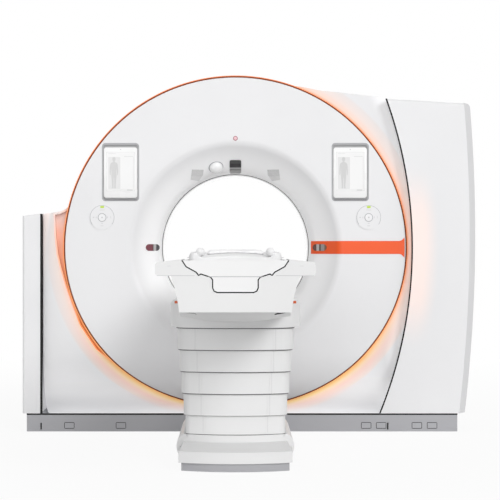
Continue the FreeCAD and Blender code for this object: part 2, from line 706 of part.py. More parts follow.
def make_left_tower():
    inner_x = LEFT_X - MOVING_GAP
    low = PLINTH_H
    high = ISO_Z + LEFT_TOP_Z

    def block(inset, depth):
        outline = [(LEFT_TOWER_X + inset, low), (inner_x - inset, low),
                   (inner_x - inset, high - inset), (LEFT_TOWER_X + inset, high - 14 - inset)]
        return prism(polygon_xz(outline), -depth, depth)

    outer = block(0, TOWER_Y)
    upright = [e for e in outer.Edges if e.BoundBox.ZLength > 900 and e.BoundBox.XMax < LEFT_TOWER_X + 1]
    outer = outer.makeFillet(14, upright)
    cover = outer.cut(block(TOWER_WALL, TOWER_Y - TOWER_WALL))
    cover = cover.cut(cylinder("x", TRUNNION_R + 6, inner_x - 20, inner_x + 5, (0, ISO_Z)))
    write("left_tower_cover", largest(cover))


def pedestal(inner_x, side):
    """A steel plate that tapers up to the tilt bearing, with a boss on its outer side."""
    outline = polygon_yz([(-300, FRAME_H), (300, FRAME_H), (150, ISO_Z), (-150, ISO_Z)])
    plate = outline.extrude(V(PEDESTAL_T, 0, 0)).fuse(cylinder("x", 150, 0, PEDESTAL_T, (0, ISO_Z)))
    plate = plate.fuse(cylinder("x", 110, PEDESTAL_T, PEDESTAL_T + PEDESTAL_BOSS, (0, ISO_Z)))
    plate = plate.cut(cylinder("x", TRUNNION_R + TRUNNION_PLAY, -1, 200, (0, ISO_Z)))
    if side < 0:
        plate = mirror_x(plate)
    plate.translate(V(side * inner_x, 0, 0))
    return plate


def make_floor_frame():
    left = PLINTH_LEFT_X + PLINTH_T
    right = PLINTH_RIGHT_X - PLINTH_T
    side_y = TOWER_Y - PLINTH_T
    frame = box((left, -PEDESTAL_X), (-side_y, side_y), (0, FRAME_H))
    frame = frame.fuse(box((RIGHT_PEDESTAL_X, right), (-side_y, side_y), (0, FRAME_H)))
    for side in (-1, 1):
        low, high = sorted((side * FRAME_BEAM_Y, side * (FRAME_BEAM_Y + FRAME_BEAM_W)))
        frame = frame.fuse(box((left, right), (low, high), (0, FRAME_H)))
    for x in (-ANCHOR_X, ANCHOR_X):
        for y in (-ANCHOR_Y, ANCHOR_Y):
            frame = frame.cut(cylinder("z", ANCHOR_R, -1, FRAME_H + 1, (x, y)))
    write("base_frame", frame.removeSplitter())
    write("pedestals", Part.makeCompound([pedestal(PEDESTAL_X, -1), pedestal(RIGHT_PEDESTAL_X, 1)]))
    cabinet_x = RIGHT_PEDESTAL_X + PEDESTAL_T + PEDESTAL_BOSS + 8
    cabinet = box((cabinet_x, right + 5), (-350, 350), (PLINTH_H + 12, 840))
    cabinet = cabinet.fuse(box((cabinet_x, right - 6), (-330, 330), (FRAME_H, PLINTH_H + 12)))
    write("power_cabinet", cabinet)
    boss_x = RIGHT_PEDESTAL_X + PEDESTAL_T + PEDESTAL_BOSS
    drive = cylinder("x", 90, boss_x, boss_x + 80, (0, ISO_Z))
    drive = drive.fuse(cylinder("y", 45, 0, 260, (boss_x + 50, ISO_Z)))
    write("tilt_drive", drive)


def make_plinth():
    """Boards round the foot, with the small latches that hold them cut in as frames."""
    latches = (-907, -625, 714, 796, 991, 1074)
    boards = []
    for y in (-TOWER_Y, TOWER_Y - PLINTH_T):
        board = box((PLINTH_LEFT_X, PLINTH_RIGHT_X), (y, y + PLINTH_T), (0, PLINTH_H))
        outer_y = y if y < 0 else y + PLINTH_T
        for x in latches:
            frame = box((x - 28, x + 28), (outer_y - 3, outer_y + 3), (15, 50))
            frame = frame.cut(box((x - 25, x + 25), (outer_y - 4, outer_y + 4), (18, 47)))
            board = board.cut(frame)
        for x in (LEFT_X - MOVING_GAP / 2, 832):
            board = board.cut(box((x - 4, x + 4), (outer_y - 10, outer_y + 10), (10, 48)))
        boards.append(board)
    side_y = TOWER_Y - PLINTH_T
    for x in (PLINTH_LEFT_X, PLINTH_RIGHT_X - PLINTH_T):
        boards.append(box((x, x + PLINTH_T), (-side_y, side_y), (0, PLINTH_H)))
    write("plinth_boards", Part.makeCompound(boards))


# ---- table: plan of the column --------------------------------------------------------------------------
def column_plan(inset, z, half_w=COLUMN_HALF_W, front=None, back=None, bulge=COLUMN_BULGE):
    """A rectangle whose front and back bow outwards."""
    hw = half_w - inset
    y0 = (COLUMN_Y - COLUMN_HALF_L if front is None else front) + inset
    y1 = (COLUMN_Y + COLUMN_HALF_L if back is None else back) - inset
    a = V(-hw, y0 + bulge, z)
    b = V(hw, y0 + bulge, z)
    c = V(hw, y1 - bulge, z)
    d = V(-hw, y1 - bulge, z)
    return face_of([
        arc(a, V(0, y0, z), b),
        line(b, c),
        arc(c, V(0, y1, z), d),
        line(d, a),
    ])


def column_block(inset, low, high):
    solid = column_plan(inset, low).extrude(V(0, 0, high - low))
    upright = [e for e in solid.Edges if e.BoundBox.ZLength > high - low - 0.1 and e.BoundBox.XLength < 0.1]
    return solid.makeFillet(COLUMN_CORNER_R - inset, upright)


def cheek_block(inset, low, high):
    """The shoulders of the top section: as deep as the column but wider, with large round corners."""
    front = COLUMN_Y - COLUMN_HALF_L + CHEEK_SETBACK
    back = COLUMN_Y + COLUMN_HALF_L - CHEEK_SETBACK
    solid = column_plan(inset, low, CHEEK_HALF_W, front, back).extrude(V(0, 0, high - low))
    upright = [e for e in solid.Edges if e.BoundBox.ZLength > high - low - 0.1 and e.BoundBox.XLength < 0.1]
    return solid.makeFillet(CHEEK_CORNER_R - inset, upright)


def make_top_section():
    """The outermost section, fixed under the table: shoulders beside the table body, and a rounded nose."""
    low = SECTION_TOP_EDGE_Z
    outer = cheek_block(0, CHEEK_LOW_Z, CHEEK_HIGH_Z)
    slope = CHEEK_HIGH_Z - BODY_LOW_Z
    sides = polygon_xz([(-CHEEK_HALF_W, low), (CHEEK_HALF_W, low), (CHEEK_HALF_W, BODY_LOW_Z),
                        (CHEEK_HALF_W - slope, CHEEK_HIGH_Z), (slope - CHEEK_HALF_W, CHEEK_HIGH_Z),
                        (-CHEEK_HALF_W, BODY_LOW_Z)])
    outer = outer.common(prism(sides, TABLE_FOOT_Y, 0))
    ear_x = BODY_TOP_HALF_W - 16
    outer = outer.cut(box((-ear_x, ear_x), (TABLE_FOOT_Y, 0), (BODY_LOW_Z, CHEEK_HIGH_Z + 1)))
    outer = outer.fuse(column_block(0, low, CHEEK_LOW_Z)).fuse(belly())
    outer = outer.cut(cheek_block(COLUMN_WALL, CHEEK_LOW_Z + COLUMN_ROOF, BODY_LOW_Z - COLUMN_ROOF))
    outer = outer.cut(column_block(COLUMN_STEP - SEAT_GAP, low - 1, CHEEK_LOW_Z + COLUMN_ROOF + 1))
    write("column_section_1", largest(outer.cut(post_room()).removeSplitter()))


def make_column_sections():
    """The sleeves nested in the top section; each has a wiper lip that just clears the sleeve inside it."""
    for k in range(1, SECTIONS):
        low = SECTION_TOP_EDGE_Z - k * SECTION_PITCH
        high = low + SECTION_HEIGHT
        inset = k * COLUMN_STEP
        sleeve = column_block(inset, low, high).cut(column_block(inset + COLUMN_WALL, low - 1, high + 1))
        if k < SECTIONS - 1:
            lip = column_block(inset + 1, low, low + LIP_HEIGHT)
            lip = lip.cut(column_block(inset + COLUMN_STEP - SEAT_GAP, low - 1, low + LIP_HEIGHT + 1))
            sleeve = sleeve.fuse(lip).removeSplitter()
        seam = COLUMN_SEAM_X - inset
        half = SEAM_W / 2
        reach = COLUMN_HALF_L + 100
        for x in (-seam, seam):
            groove = box((x - half, x + half), (COLUMN_Y - reach, COLUMN_Y + reach), (low - 1, high + 1))
            sleeve = sleeve.cut(groove.cut(column_block(inset + half, low - 2, high + 2)))
        write("column_section_" + str(k + 1), largest(sleeve))


def post_room():
    """The opening over the column that the lift posts pass through."""
    reach = LIFT_POST_SPACING + LIFT_POST_HALF + 20
    half_w = LIFT_POST_HALF + 20
    return box((-half_w, half_w), (COLUMN_Y - reach, COLUMN_Y + reach), (500, table_frame_low()))


def belly():
    """The rounded nose of the top section, under the overhanging foot end of the table."""
    front = COLUMN_Y - COLUMN_HALF_L - BELLY_LENGTH
    back = COLUMN_Y - COLUMN_HALF_L + COLUMN_BULGE
    keel_z = BODY_LOW_Z - BELLY_DEPTH
    middle = V(0, (front + back) / 2, keel_z + BELLY_DEPTH * 0.2)
    side_view = face_of([
        line(V(0, front, BODY_LOW_Z), V(0, back, BODY_LOW_Z)),
        line(V(0, back, BODY_LOW_Z), V(0, back, keel_z)),
        arc(V(0, back, keel_z), middle, V(0, front, BODY_LOW_Z)),
    ])
    side_view.translate(V(-BELLY_HALF_W, 0, 0))
    nose = side_view.extrude(V(2 * BELLY_HALF_W, 0, 0))
    high = BODY_LOW_Z + 1
    shelf = keel_z + BELLY_DEPTH / 2
    turn = keel_z + BELLY_DEPTH * 0.38
    front_view = face_of([
        line(V(-BELLY_HALF_W, 0, high), V(-BELLY_HALF_W, 0, shelf)),
        line(V(-BELLY_HALF_W, 0, shelf), V(-BELLY_KEEL_W, 0, turn)),
        arc(V(-BELLY_KEEL_W, 0, turn), V(0, 0, keel_z), V(BELLY_KEEL_W, 0, turn)),
        line(V(BELLY_KEEL_W, 0, turn), V(BELLY_HALF_W, 0, shelf)),
        line(V(BELLY_HALF_W, 0, shelf), V(BELLY_HALF_W, 0, high)),
        line(V(BELLY_HALF_W, 0, high), V(-BELLY_HALF_W, 0, high)),
    ])
    return nose.common(prism(front_view, front - 5, back + 5))


def last_edge_z():
    return SECTION_TOP_EDGE_Z - (SECTIONS - 1) * SECTION_PITCH


def make_lift_posts():
    """Two three-stage telescopic guides inside the column, of square tube."""
    low = FRAME_H
    for stage, name in enumerate(("post_outer", "post_middle", "post_inner")):
        outer = LIFT_POST_HALF - stage * LIFT_POST_WALL - (SEAT_GAP if stage else 0)
        inner = LIFT_POST_HALF - (stage + 1) * LIFT_POST_WALL
        high = low + LIFT_POST_STAGE if stage < 2 else table_frame_low()
        pair = []
        for side in (-1, 1):
            y = COLUMN_Y + side * LIFT_POST_SPACING
            tube = box((-outer, outer), (y - outer, y + outer), (low, high))
            pair.append(tube.cut(box((-inner, inner), (y - inner, y + inner), (low - 1, high + 1))))
        write(name, Part.makeCompound(pair))
        low += LIFT_POST_STAGE - LIFT_POST_LAP


def table_frame_low():
    return BODY_LOW_Z + BODY_WALL


def make_table_base():
    back = -TOWER_Y
    frame = box((-COUCH_FRAME_HALF_W, COUCH_FRAME_HALF_W), (BASE_FRONT_Y + 90, back), (0, FRAME_H))
    for x in (-COUCH_ANCHOR_X, COUCH_ANCHOR_X):
        for y in (-COUCH_ANCHOR_Y, COUCH_ANCHOR_Y):
            frame = frame.cut(cylinder("z", ANCHOR_R, -1, FRAME_H + 1, (x, COLUMN_Y + y)))
    write("table_base_frame", frame)

    def base_block(half_w, front, low, high):
        plan = column_plan(0, low, half_w, front, back + COLUMN_BULGE, COLUMN_BULGE)
        solid = plan.extrude(V(0, 0, high - low))
        return solid.common(box((-400, 400), (front - 5, back), (low, high)))

    inner_w = COUCH_FRAME_HALF_W + 3
    plinth = base_block(BASE_HALF_W - 13, BASE_FRONT_Y + 8, 0, BASE_PLINTH_Z)
    plinth = plinth.cut(box((-inner_w, inner_w), (BASE_FRONT_Y + 80, back + 1), (-1, 200)))
    write("table_plinth", plinth)

    lip = base_block(BASE_HALF_W, BASE_FRONT_Y, BASE_PLINTH_Z, BASE_LIP_Z)
    deck_low = column_plan(0, BASE_LIP_Z, BASE_HALF_W - 6, BASE_FRONT_Y + 6, back + COLUMN_BULGE).OuterWire
    deck_high = column_plan(0, BASE_DECK_Z, COLUMN_HALF_W - 38, COLUMN_Y - COLUMN_HALF_L + 8,
                            back + COLUMN_BULGE - 20).OuterWire
    deck = Part.makeLoft([deck_low, deck_high], True, True)
    deck = deck.common(box((-400, 400), (BASE_FRONT_Y, back), (BASE_LIP_Z, BASE_DECK_Z + 1)))
    collar = column_block((SECTIONS - 1) * COLUMN_STEP + 2, BASE_LIP_Z, last_edge_z())
    cover = lip.fuse(deck).fuse(collar)
    low = BASE_PLINTH_Z + 10
    top = last_edge_z() + 11
    wide = BASE_SWELL_HALF_W
    swell = face_of([
        line(V(9 - wide, 0, low), V(wide - 9, 0, low)),
        arc(V(wide - 9, 0, low), V(wide, 0, (low + top) / 2), V(wide - 31, 0, top)),
        line(V(wide - 31, 0, top), V(31 - wide, 0, top)),
        arc(V(31 - wide, 0, top), V(-wide, 0, (low + top) / 2), V(9 - wide, 0, low)),
    ])
    reach = COLUMN_HALF_L - 30
    plan = column_plan(0, 40, wide + 1, COLUMN_Y - reach, COLUMN_Y + reach, 2 * COLUMN_BULGE)
    plan = plan.extrude(V(0, 0, top))
    cover = cover.fuse(prism(swell, COLUMN_Y - reach, COLUMN_Y + reach).common(plan))
    cavity = box((-inner_w, inner_w), (BASE_FRONT_Y + 80, back + 1), (0, BASE_LIP_Z - 6))
    sleeve_inset = (SECTIONS - 1) * COLUMN_STEP
    seat = column_block(sleeve_inset - 2, last_edge_z(), 400)
    well = column_block(sleeve_inset + 8, 60, 400)
    write("table_base_cover", largest(cover.cut(cavity).cut(seat).cut(well).removeSplitter()))


# ---- table: body, tabletop, mattress --------------------------------------------------------------------
def dish_outline(gap):
    """End view of the tabletop and its carriage: a shallow dish with a hand groove and a square keel."""
    w = DISH_HALF_W
    keel = CARRIAGE_HALF_W
    low = DISH_LOW_Z
    under = CARRIAGE_LOW_Z
    half = [(w, RIM_Z + 6), (w - 15, RIM_Z - 17), (152, RIM_Z - 39), (144, low + 8), (136, low + 13),
            (keel + 9, low), (keel, low - 12), (keel, under + 16), (keel - 5, under + 5), (keel - 16, under)]
    if gap:
        half.insert(0, (w, RIM_Z + 46))
    face = polygon_xz(half + [(-x, z) for x, z in reversed(half)])
    return face.makeOffset2D(gap) if gap else face


def body_outline(inset, low, high, widen=0.0):
    top = BODY_TOP_HALF_W + widen - inset
    bottom = BODY_LOW_HALF_W - inset
    mid = (low + high) / 2
    face = face_of([
        line(V(-bottom, 0, low + inset), V(bottom, 0, low + inset)),
        arc(V(bottom, 0, low + inset), V((top + bottom) / 2 - 5, 0, mid), V(top, 0, high - inset)),
        line(V(top, 0, high - inset), V(-top, 0, high - inset)),
        arc(V(-top, 0, high - inset), V(-(top + bottom) / 2 + 5, 0, mid), V(-bottom, 0, low + inset)),
    ])
    return face


def make_table_body():
    foot = TABLE_FOOT_Y
    split = TABLE_FOOT_Y + WING_LENGTH
    slot = prism(dish_outline(SLOT_GAP), foot - 5, TABLE_HEAD_Y + 5)
    keel_room = box((-CARRIAGE_HALF_W - 12, CARRIAGE_HALF_W + 12), (foot + 20, TABLE_HEAD_Y - 20),
                    (BODY_LOW_Z + BODY_WALL, BODY_HIGH_Z + 1))
    end = prism(body_outline(0, BODY_LOW_Z, BODY_HIGH_Z), foot, split)
    hollow = prism(body_outline(BODY_WALL, BODY_LOW_Z, BODY_HIGH_Z), foot + 14, split + 1)
    under_dish = 150
    apron = box((-under_dish, under_dish), (foot, foot + 14), (BODY_HIGH_Z - BODY_WALL, DISH_LOW_Z + 20))
    end = end.cut(hollow).fuse(apron).cut(slot)
    write("table_end_cover", largest(end.removeSplitter()))

    inner_x = DISH_HALF_W + SLOT_GAP
    slope_z = WING_HIGH_Z - WING_SLOPE
    wedge = polygon_xz([(-WING_HALF_W, WING_LOW_Z), (WING_HALF_W, WING_LOW_Z), (WING_HALF_W, slope_z),
                        (inner_x, WING_HIGH_Z), (-inner_x, WING_HIGH_Z), (-WING_HALF_W, slope_z)])
    wing = prism(wedge, foot, split)
    corners = [e for e in wing.Edges if e.BoundBox.ZLength > 20]
    wing = wing.makeFillet(45, [e for e in corners if e.BoundBox.YMin > foot + 10])
    ends = [e for e in wing.Edges if abs(abs(e.CenterOfMass.x) - WING_HALF_W) < 1 and e.BoundBox.ZLength < 1]
    wing = wing.makeChamfer(7, ends)
    wing = wing.cut(box((-under_dish, under_dish), (foot - 1, split + 1), (WING_LOW_Z - 1, WING_HIGH_Z + 1)))
    write("table_wings", wing.cut(slot))

    shell = prism(body_outline(4, BODY_LOW_Z - 4, 932), split, TABLE_HEAD_Y)
    inner = prism(body_outline(4 + BODY_WALL, BODY_LOW_Z - 4, 932), split - 1, TABLE_HEAD_Y - 12)
    shell = shell.cut(inner).cut(slot).cut(keel_room).cut(post_room())
    write("table_shell", largest(shell))

    frame = None
    for side in (-1, 1):
        low, high = sorted((side * 110, side * 180))
        beam = box((low, high), (foot + 40, TABLE_HEAD_Y - 30), (table_frame_low(), 815))
        frame = beam if frame is None else frame.fuse(beam)
    for y in (COLUMN_Y - LIFT_POST_SPACING, COLUMN_Y + LIFT_POST_SPACING, foot + 90, TABLE_HEAD_Y - 90):
        frame = frame.fuse(box((-180, 180), (y - 60, y + 60), (table_frame_low(), table_frame_low() + 30)))
    for side in (-1, 1):
        low, high = sorted((side * (CARRIAGE_HALF_W + SEAT_GAP), side * 125))
        frame = frame.fuse(box((low, high), (foot + 40, TABLE_HEAD_Y - 30), (795, CARRIAGE_LOW_Z + 24)))
    write("table_frame", largest(frame.removeSplitter()))


def make_tabletop():
    foot = TABLE_FOOT_Y + 2
    plate = prism(dish_outline(0), foot, TOP_HEAD_Y)
    keel = box((-100, 100), (foot - 5, TOP_HEAD_Y + 5), (CARRIAGE_LOW_Z - 5, DISH_LOW_Z))
    dish = face_of([
        line(V(-DISH_HALF_W + 8, 0, RIM_Z + 20), V(-DISH_HALF_W + 8, 0, RIM_Z)),
        arc(V(-DISH_HALF_W + 8, 0, RIM_Z), V(0, 0, RIM_Z - DISH_SAG), V(DISH_HALF_W - 8, 0, RIM_Z)),
        line(V(DISH_HALF_W - 8, 0, RIM_Z), V(DISH_HALF_W - 8, 0, RIM_Z + 20)),
        line(V(DISH_HALF_W - 8, 0, RIM_Z + 20), V(-DISH_HALF_W + 8, 0, RIM_Z + 20)),
    ])
    top = plate.cut(keel).cut(prism(dish, foot + 14, TOP_HEAD_Y + 5))
    write("tabletop", largest(top))
    carriage = prism(dish_outline(0), foot, foot + CARRIAGE_LENGTH)
    carriage = carriage.common(box((-100, 100), (foot - 5, 0), (CARRIAGE_LOW_Z - 5, DISH_LOW_Z)))
    write("carriage", largest(carriage))


def crown_z(x):
    """Height of the crowned middle of the mattress at a distance from its centre line."""
    radius = (CROWN_HALF_W ** 2 + CROWN_RISE ** 2) / (2 * CROWN_RISE)
    return MATTRESS_TOP_Z - radius + math.sqrt(radius ** 2 - x ** 2)


def make_mattress():
    """A crowned pad with raised, drawn-in sides that lies in the dish, two small rolls and a head cushion."""
    foot = TABLE_FOOT_Y + 40
    head = TOP_HEAD_Y - 30
    w = MATTRESS_HALF_W
    low_mid = RIM_Z - DISH_SAG + SEAT_GAP
    low = RIM_Z - 2
    edge = crown_z(CROWN_HALF_W)
    side = MATTRESS_SIDE_Z
    section = face_of([
        arc(V(-w, 0, low), V(0, 0, low_mid), V(w, 0, low)),
        arc(V(w, 0, low), V(w + 6, 0, low + 22), V(w - 6, 0, side - 4)),
        arc(V(w - 6, 0, side - 4), V(w - 16, 0, side), V(w - 26, 0, side - 3)),
        line(V(w - 26, 0, side - 3), V(CROWN_HALF_W, 0, edge)),
        arc(V(CROWN_HALF_W, 0, edge), V(0, 0, MATTRESS_TOP_Z), V(-CROWN_HALF_W, 0, edge)),
        line(V(-CROWN_HALF_W, 0, edge), V(26 - w, 0, side - 3)),
        arc(V(26 - w, 0, side - 3), V(16 - w, 0, side), V(6 - w, 0, side - 4)),
        arc(V(6 - w, 0, side - 4), V(-w - 6, 0, low + 22), V(-w, 0, low)),
    ])
    write("mattress", prism(section, foot, head))
    roll_x = CROWN_HALF_W - 10
    roll_z = crown_z(roll_x) + ROLL_R + SEAT_GAP
    rolls = [cylinder("y", ROLL_R, foot + 6, foot + 156, (side_of * roll_x, roll_z)) for side_of in (-1, 1)]
    write("positioning_rolls", Part.makeCompound(rolls))
    top = CUSHION_TOP_Z
    rest_z = crown_z(CROWN_HALF_W) + SEAT_GAP
    c = CROWN_HALF_W
    cushion = face_of([
        arc(V(2 - c, 0, rest_z), V(0, 0, MATTRESS_TOP_Z + SEAT_GAP), V(c - 2, 0, rest_z)),
        arc(V(c - 2, 0, rest_z), V(c + 2, 0, rest_z + 11), V(c - 8, 0, top - 6)),
        arc(V(c - 8, 0, top - 6), V(0, 0, top), V(8 - c, 0, top - 6)),
        arc(V(8 - c, 0, top - 6), V(-c - 2, 0, rest_z + 11), V(2 - c, 0, rest_z)),
    ])
    write("head_cushion", prism(cushion, head - 40 - CUSHION_LENGTH, head - 40))


def main():
    os.makedirs("parts", exist_ok=True)
    make_front_cover()
    make_light_ring()
    make_channel()
    make_hull_covers()
    make_rear_cover()
    make_funnels()
    make_accent_bar()
    make_windows()
    make_camera_dome()
    make_speakers()
    make_front_controls()
    make_tilt_frame()
    make_rotor()
    make_left_tower()
    make_right_tower()
    make_floor_frame()
    make_plinth()
    make_top_section()
    make_column_sections()
    make_lift_posts()
    make_table_base()
    make_table_body()
    make_tabletop()
    make_mattress()


main()
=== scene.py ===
from math import asin, atan2, cos, hypot, pi, radians, sin, sqrt, tan

import bmesh
import bpy
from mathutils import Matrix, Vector, noise


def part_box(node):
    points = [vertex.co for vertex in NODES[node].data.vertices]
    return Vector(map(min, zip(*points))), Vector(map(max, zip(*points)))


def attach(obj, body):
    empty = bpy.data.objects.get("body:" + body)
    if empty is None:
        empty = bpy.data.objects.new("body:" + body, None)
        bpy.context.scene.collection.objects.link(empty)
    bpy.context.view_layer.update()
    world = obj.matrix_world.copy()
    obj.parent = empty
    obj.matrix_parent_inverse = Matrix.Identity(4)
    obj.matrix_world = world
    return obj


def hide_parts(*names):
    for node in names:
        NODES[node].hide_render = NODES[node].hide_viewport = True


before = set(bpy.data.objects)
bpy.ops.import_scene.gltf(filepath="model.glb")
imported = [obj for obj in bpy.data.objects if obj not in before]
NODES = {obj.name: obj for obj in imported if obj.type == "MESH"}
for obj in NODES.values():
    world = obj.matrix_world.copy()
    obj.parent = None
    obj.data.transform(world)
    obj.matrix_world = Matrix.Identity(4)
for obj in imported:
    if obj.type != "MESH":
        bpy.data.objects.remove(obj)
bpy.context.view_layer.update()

# ---- sizes in metres, as in the CAD part ----
ISO = 1.003                        # height of the isocentre above the floor
FACE_Y = -0.450                    # flat front face of the gantry
DISC_R, DISC_LOW = 0.934, 0.884    # edge of the round cover: radius above, half height below the isocentre
DISC_STEPS = 288
SLIT_R, LOW_OVAL = 0.9463, 1.0558    # outer edge of the slit round the cover, and its radius over its lower height
LEAN_Z = -0.580                    # above the isocentre: below this the front face curves back
LEAN_R = (0.150 ** 2 + 0.311 ** 2) / 0.300
MOUTH_ROUND = 0.060                # rounding where the front face turns into the bore
MOUTH_START = 0.571 + MOUTH_ROUND * tan(radians(22.5))
CONE_START = 0.121                 # y of the 45 degree part of the bore wall, plus its radius
THROAT_R, THROAT_ROUND = 0.560, 0.150
THROAT_Y, REAR_THROAT_Y = -0.22687, 0.23287
BALL_X = -1.436                    # centre of the ball-shaped gap beside the right tower
TINT_BACK, TINT_FRONT = -0.16, -0.33    # the light's colour fades between these y values
TABLET_X, TABLET_Z = 0.630, 0.412       # above the isocentre, as PANEL_Z
PANEL_X, PANEL_Z = 0.731, 0.166
TABLE_FOOT_Y = -2.960              # end of the table away from the gantry
COLUMN_HALF_W, COLUMN_FRONT, COLUMN_BACK = 0.275, -1.975, -0.975
COLUMN_BULGE, COLUMN_CORNER, COLUMN_STEP = 0.055, 0.085, 0.009
COLUMN_EDGE_Z, COLUMN_PITCH = 0.636, 0.1006    # lower edge of the top section, height of each next one
SIDES = ((-1, "left"), (1, "right"))

# ---- camera ----
FOCAL_PX, PICTURE_PX, SENSOR_MM = 1607.0, 500.0, 36.0
camera_data = bpy.data.cameras.new("camera")
camera_data.sensor_width = SENSOR_MM
camera_data.lens = FOCAL_PX / PICTURE_PX * SENSOR_MM
camera_data.shift_x = 0.0292
camera_data.clip_end = 200.0
camera = bpy.data.objects.new("camera", camera_data)
camera.location = (0.0, -9.265, 0.9906)
camera.rotation_euler = (radians(90), 0, 0)
bpy.context.collection.objects.link(camera)
bpy.context.scene.camera = camera
bpy.context.scene.view_settings.view_transform = "Standard"


# ---- world, floor and lamps ----
def feed(slot, value):
    """Link a socket to an input, or set a constant there."""
    if isinstance(value, bpy.types.NodeSocket):
        slot.id_data.links.new(value, slot)
    else:
        slot.default_value = (*value[:3], 1) if slot.type == "RGBA" else value


def add_node(tree, kind, inputs=(), operation=None, **named):
    """A node in a tree, with its inputs fed by place or by name."""
    made = tree.nodes.new(kind)
    if operation:
        made.operation = operation
    for slot, value in zip(made.inputs, inputs):
        feed(slot, value)
    for key, value in named.items():
        feed(made.inputs[key], value)
    return made


def seen_directly(tree):
    """1 for rays from the camera, mirrors and glass, 0 for light that falls on the object."""
    path = add_node(tree, "ShaderNodeLightPath").outputs
    first = add_node(tree, "ShaderNodeMath", (path["Is Camera Ray"], path["Is Glossy Ray"]), "MAXIMUM")
    second = add_node(tree, "ShaderNodeMath", (first.outputs[0], path["Is Transmission Ray"]), "MAXIMUM")
    return second.outputs[0]


def blended(tree, share, under, over, out):
    mix = add_node(tree, "ShaderNodeMixShader", (share, under.outputs[0], over.outputs[0]))
    add_node(tree, out, (mix.outputs[0],))


def make_world(ambient):
    """White where it is seen directly, and a weaker even light on the object."""
    world = bpy.data.worlds.new("world")
    world.use_nodes = True
    bpy.context.scene.world = world
    tree = world.node_tree
    tree.nodes.clear()
    soft = add_node(tree, "ShaderNodeBackground", ((1, 1, 1), ambient))
    white = add_node(tree, "ShaderNodeBackground", ((1, 1, 1), 1.0))
    blended(tree, seen_directly(tree), soft, white, "ShaderNodeOutputWorld")


def make_floor():
    """A pale floor: white to the eye far off, and near the object part of it is its own shaded surface."""
    mesh = bpy.data.meshes.new("floor")
    reach = 60.0
    mesh.from_pydata([(-reach, -reach, 0), (reach, -reach, 0), (reach, reach, 0), (-reach, reach, 0)], [],
                     [(0, 1, 2, 3)])
    floor = bpy.data.objects.new("floor", mesh)
    floor.location.z = -0.0005
    bpy.context.collection.objects.link(floor)
    mat = bpy.data.materials.new("floor")
    mat.use_nodes = True
    tree = mat.node_tree
    tree.nodes.clear()
    shaded = add_node(tree, "ShaderNodeBsdfDiffuse", ((0.78, 0.78, 0.78),))
    white = add_node(tree, "ShaderNodeEmission", ((1, 1, 1), 1.0))
    where = add_node(tree, "ShaderNodeTexCoord").outputs["Object"]
    oval = add_node(tree, "ShaderNodeVectorMath", (where, (1.0, 0.75, 1.0)), "MULTIPLY").outputs[0]
    length = add_node(tree, "ShaderNodeVectorMath", (oval,), "LENGTH").outputs["Value"]
    share = add_node(tree, "ShaderNodeMapRange", (length, 1.6, 4.5, 0.92, 1.0)).outputs[0]
    both = add_node(tree, "ShaderNodeMath", (share, seen_directly(tree)), "MULTIPLY").outputs[0]
    blended(tree, both, shaded, white, "ShaderNodeOutputMaterial")
    mesh.materials.append(mat)


def lit_from(name, kind, at, towards, energy, **settings):
    """A lamp at a point that shines towards another; a sun only keeps the direction."""
    data = bpy.data.lights.new(name, kind)
    data.energy = energy
    for key, value in settings.items():
        setattr(data, key, value)
    obj = bpy.data.objects.new(name, data)
    obj.location = at
    obj.rotation_euler = (Vector(towards) - Vector(at)).to_track_quat("-Z", "Y").to_euler()
    bpy.context.collection.objects.link(obj)


make_world(0.47)
make_floor()
lit_from("key", "SUN", (4.0, -6.0, 4.0), (0, 0, 0), 1.28, angle=radians(24))
lit_from("front", "SUN", (-1.6, -8.0, 0.4), (0, 0, 0), 1.13, angle=radians(40))
lit_from("rear", "AREA", (0.5, 5.5, 3.8), (0, 0.4, 1.0), 55, shape="RECTANGLE", size=4.0, size_y=3.0)


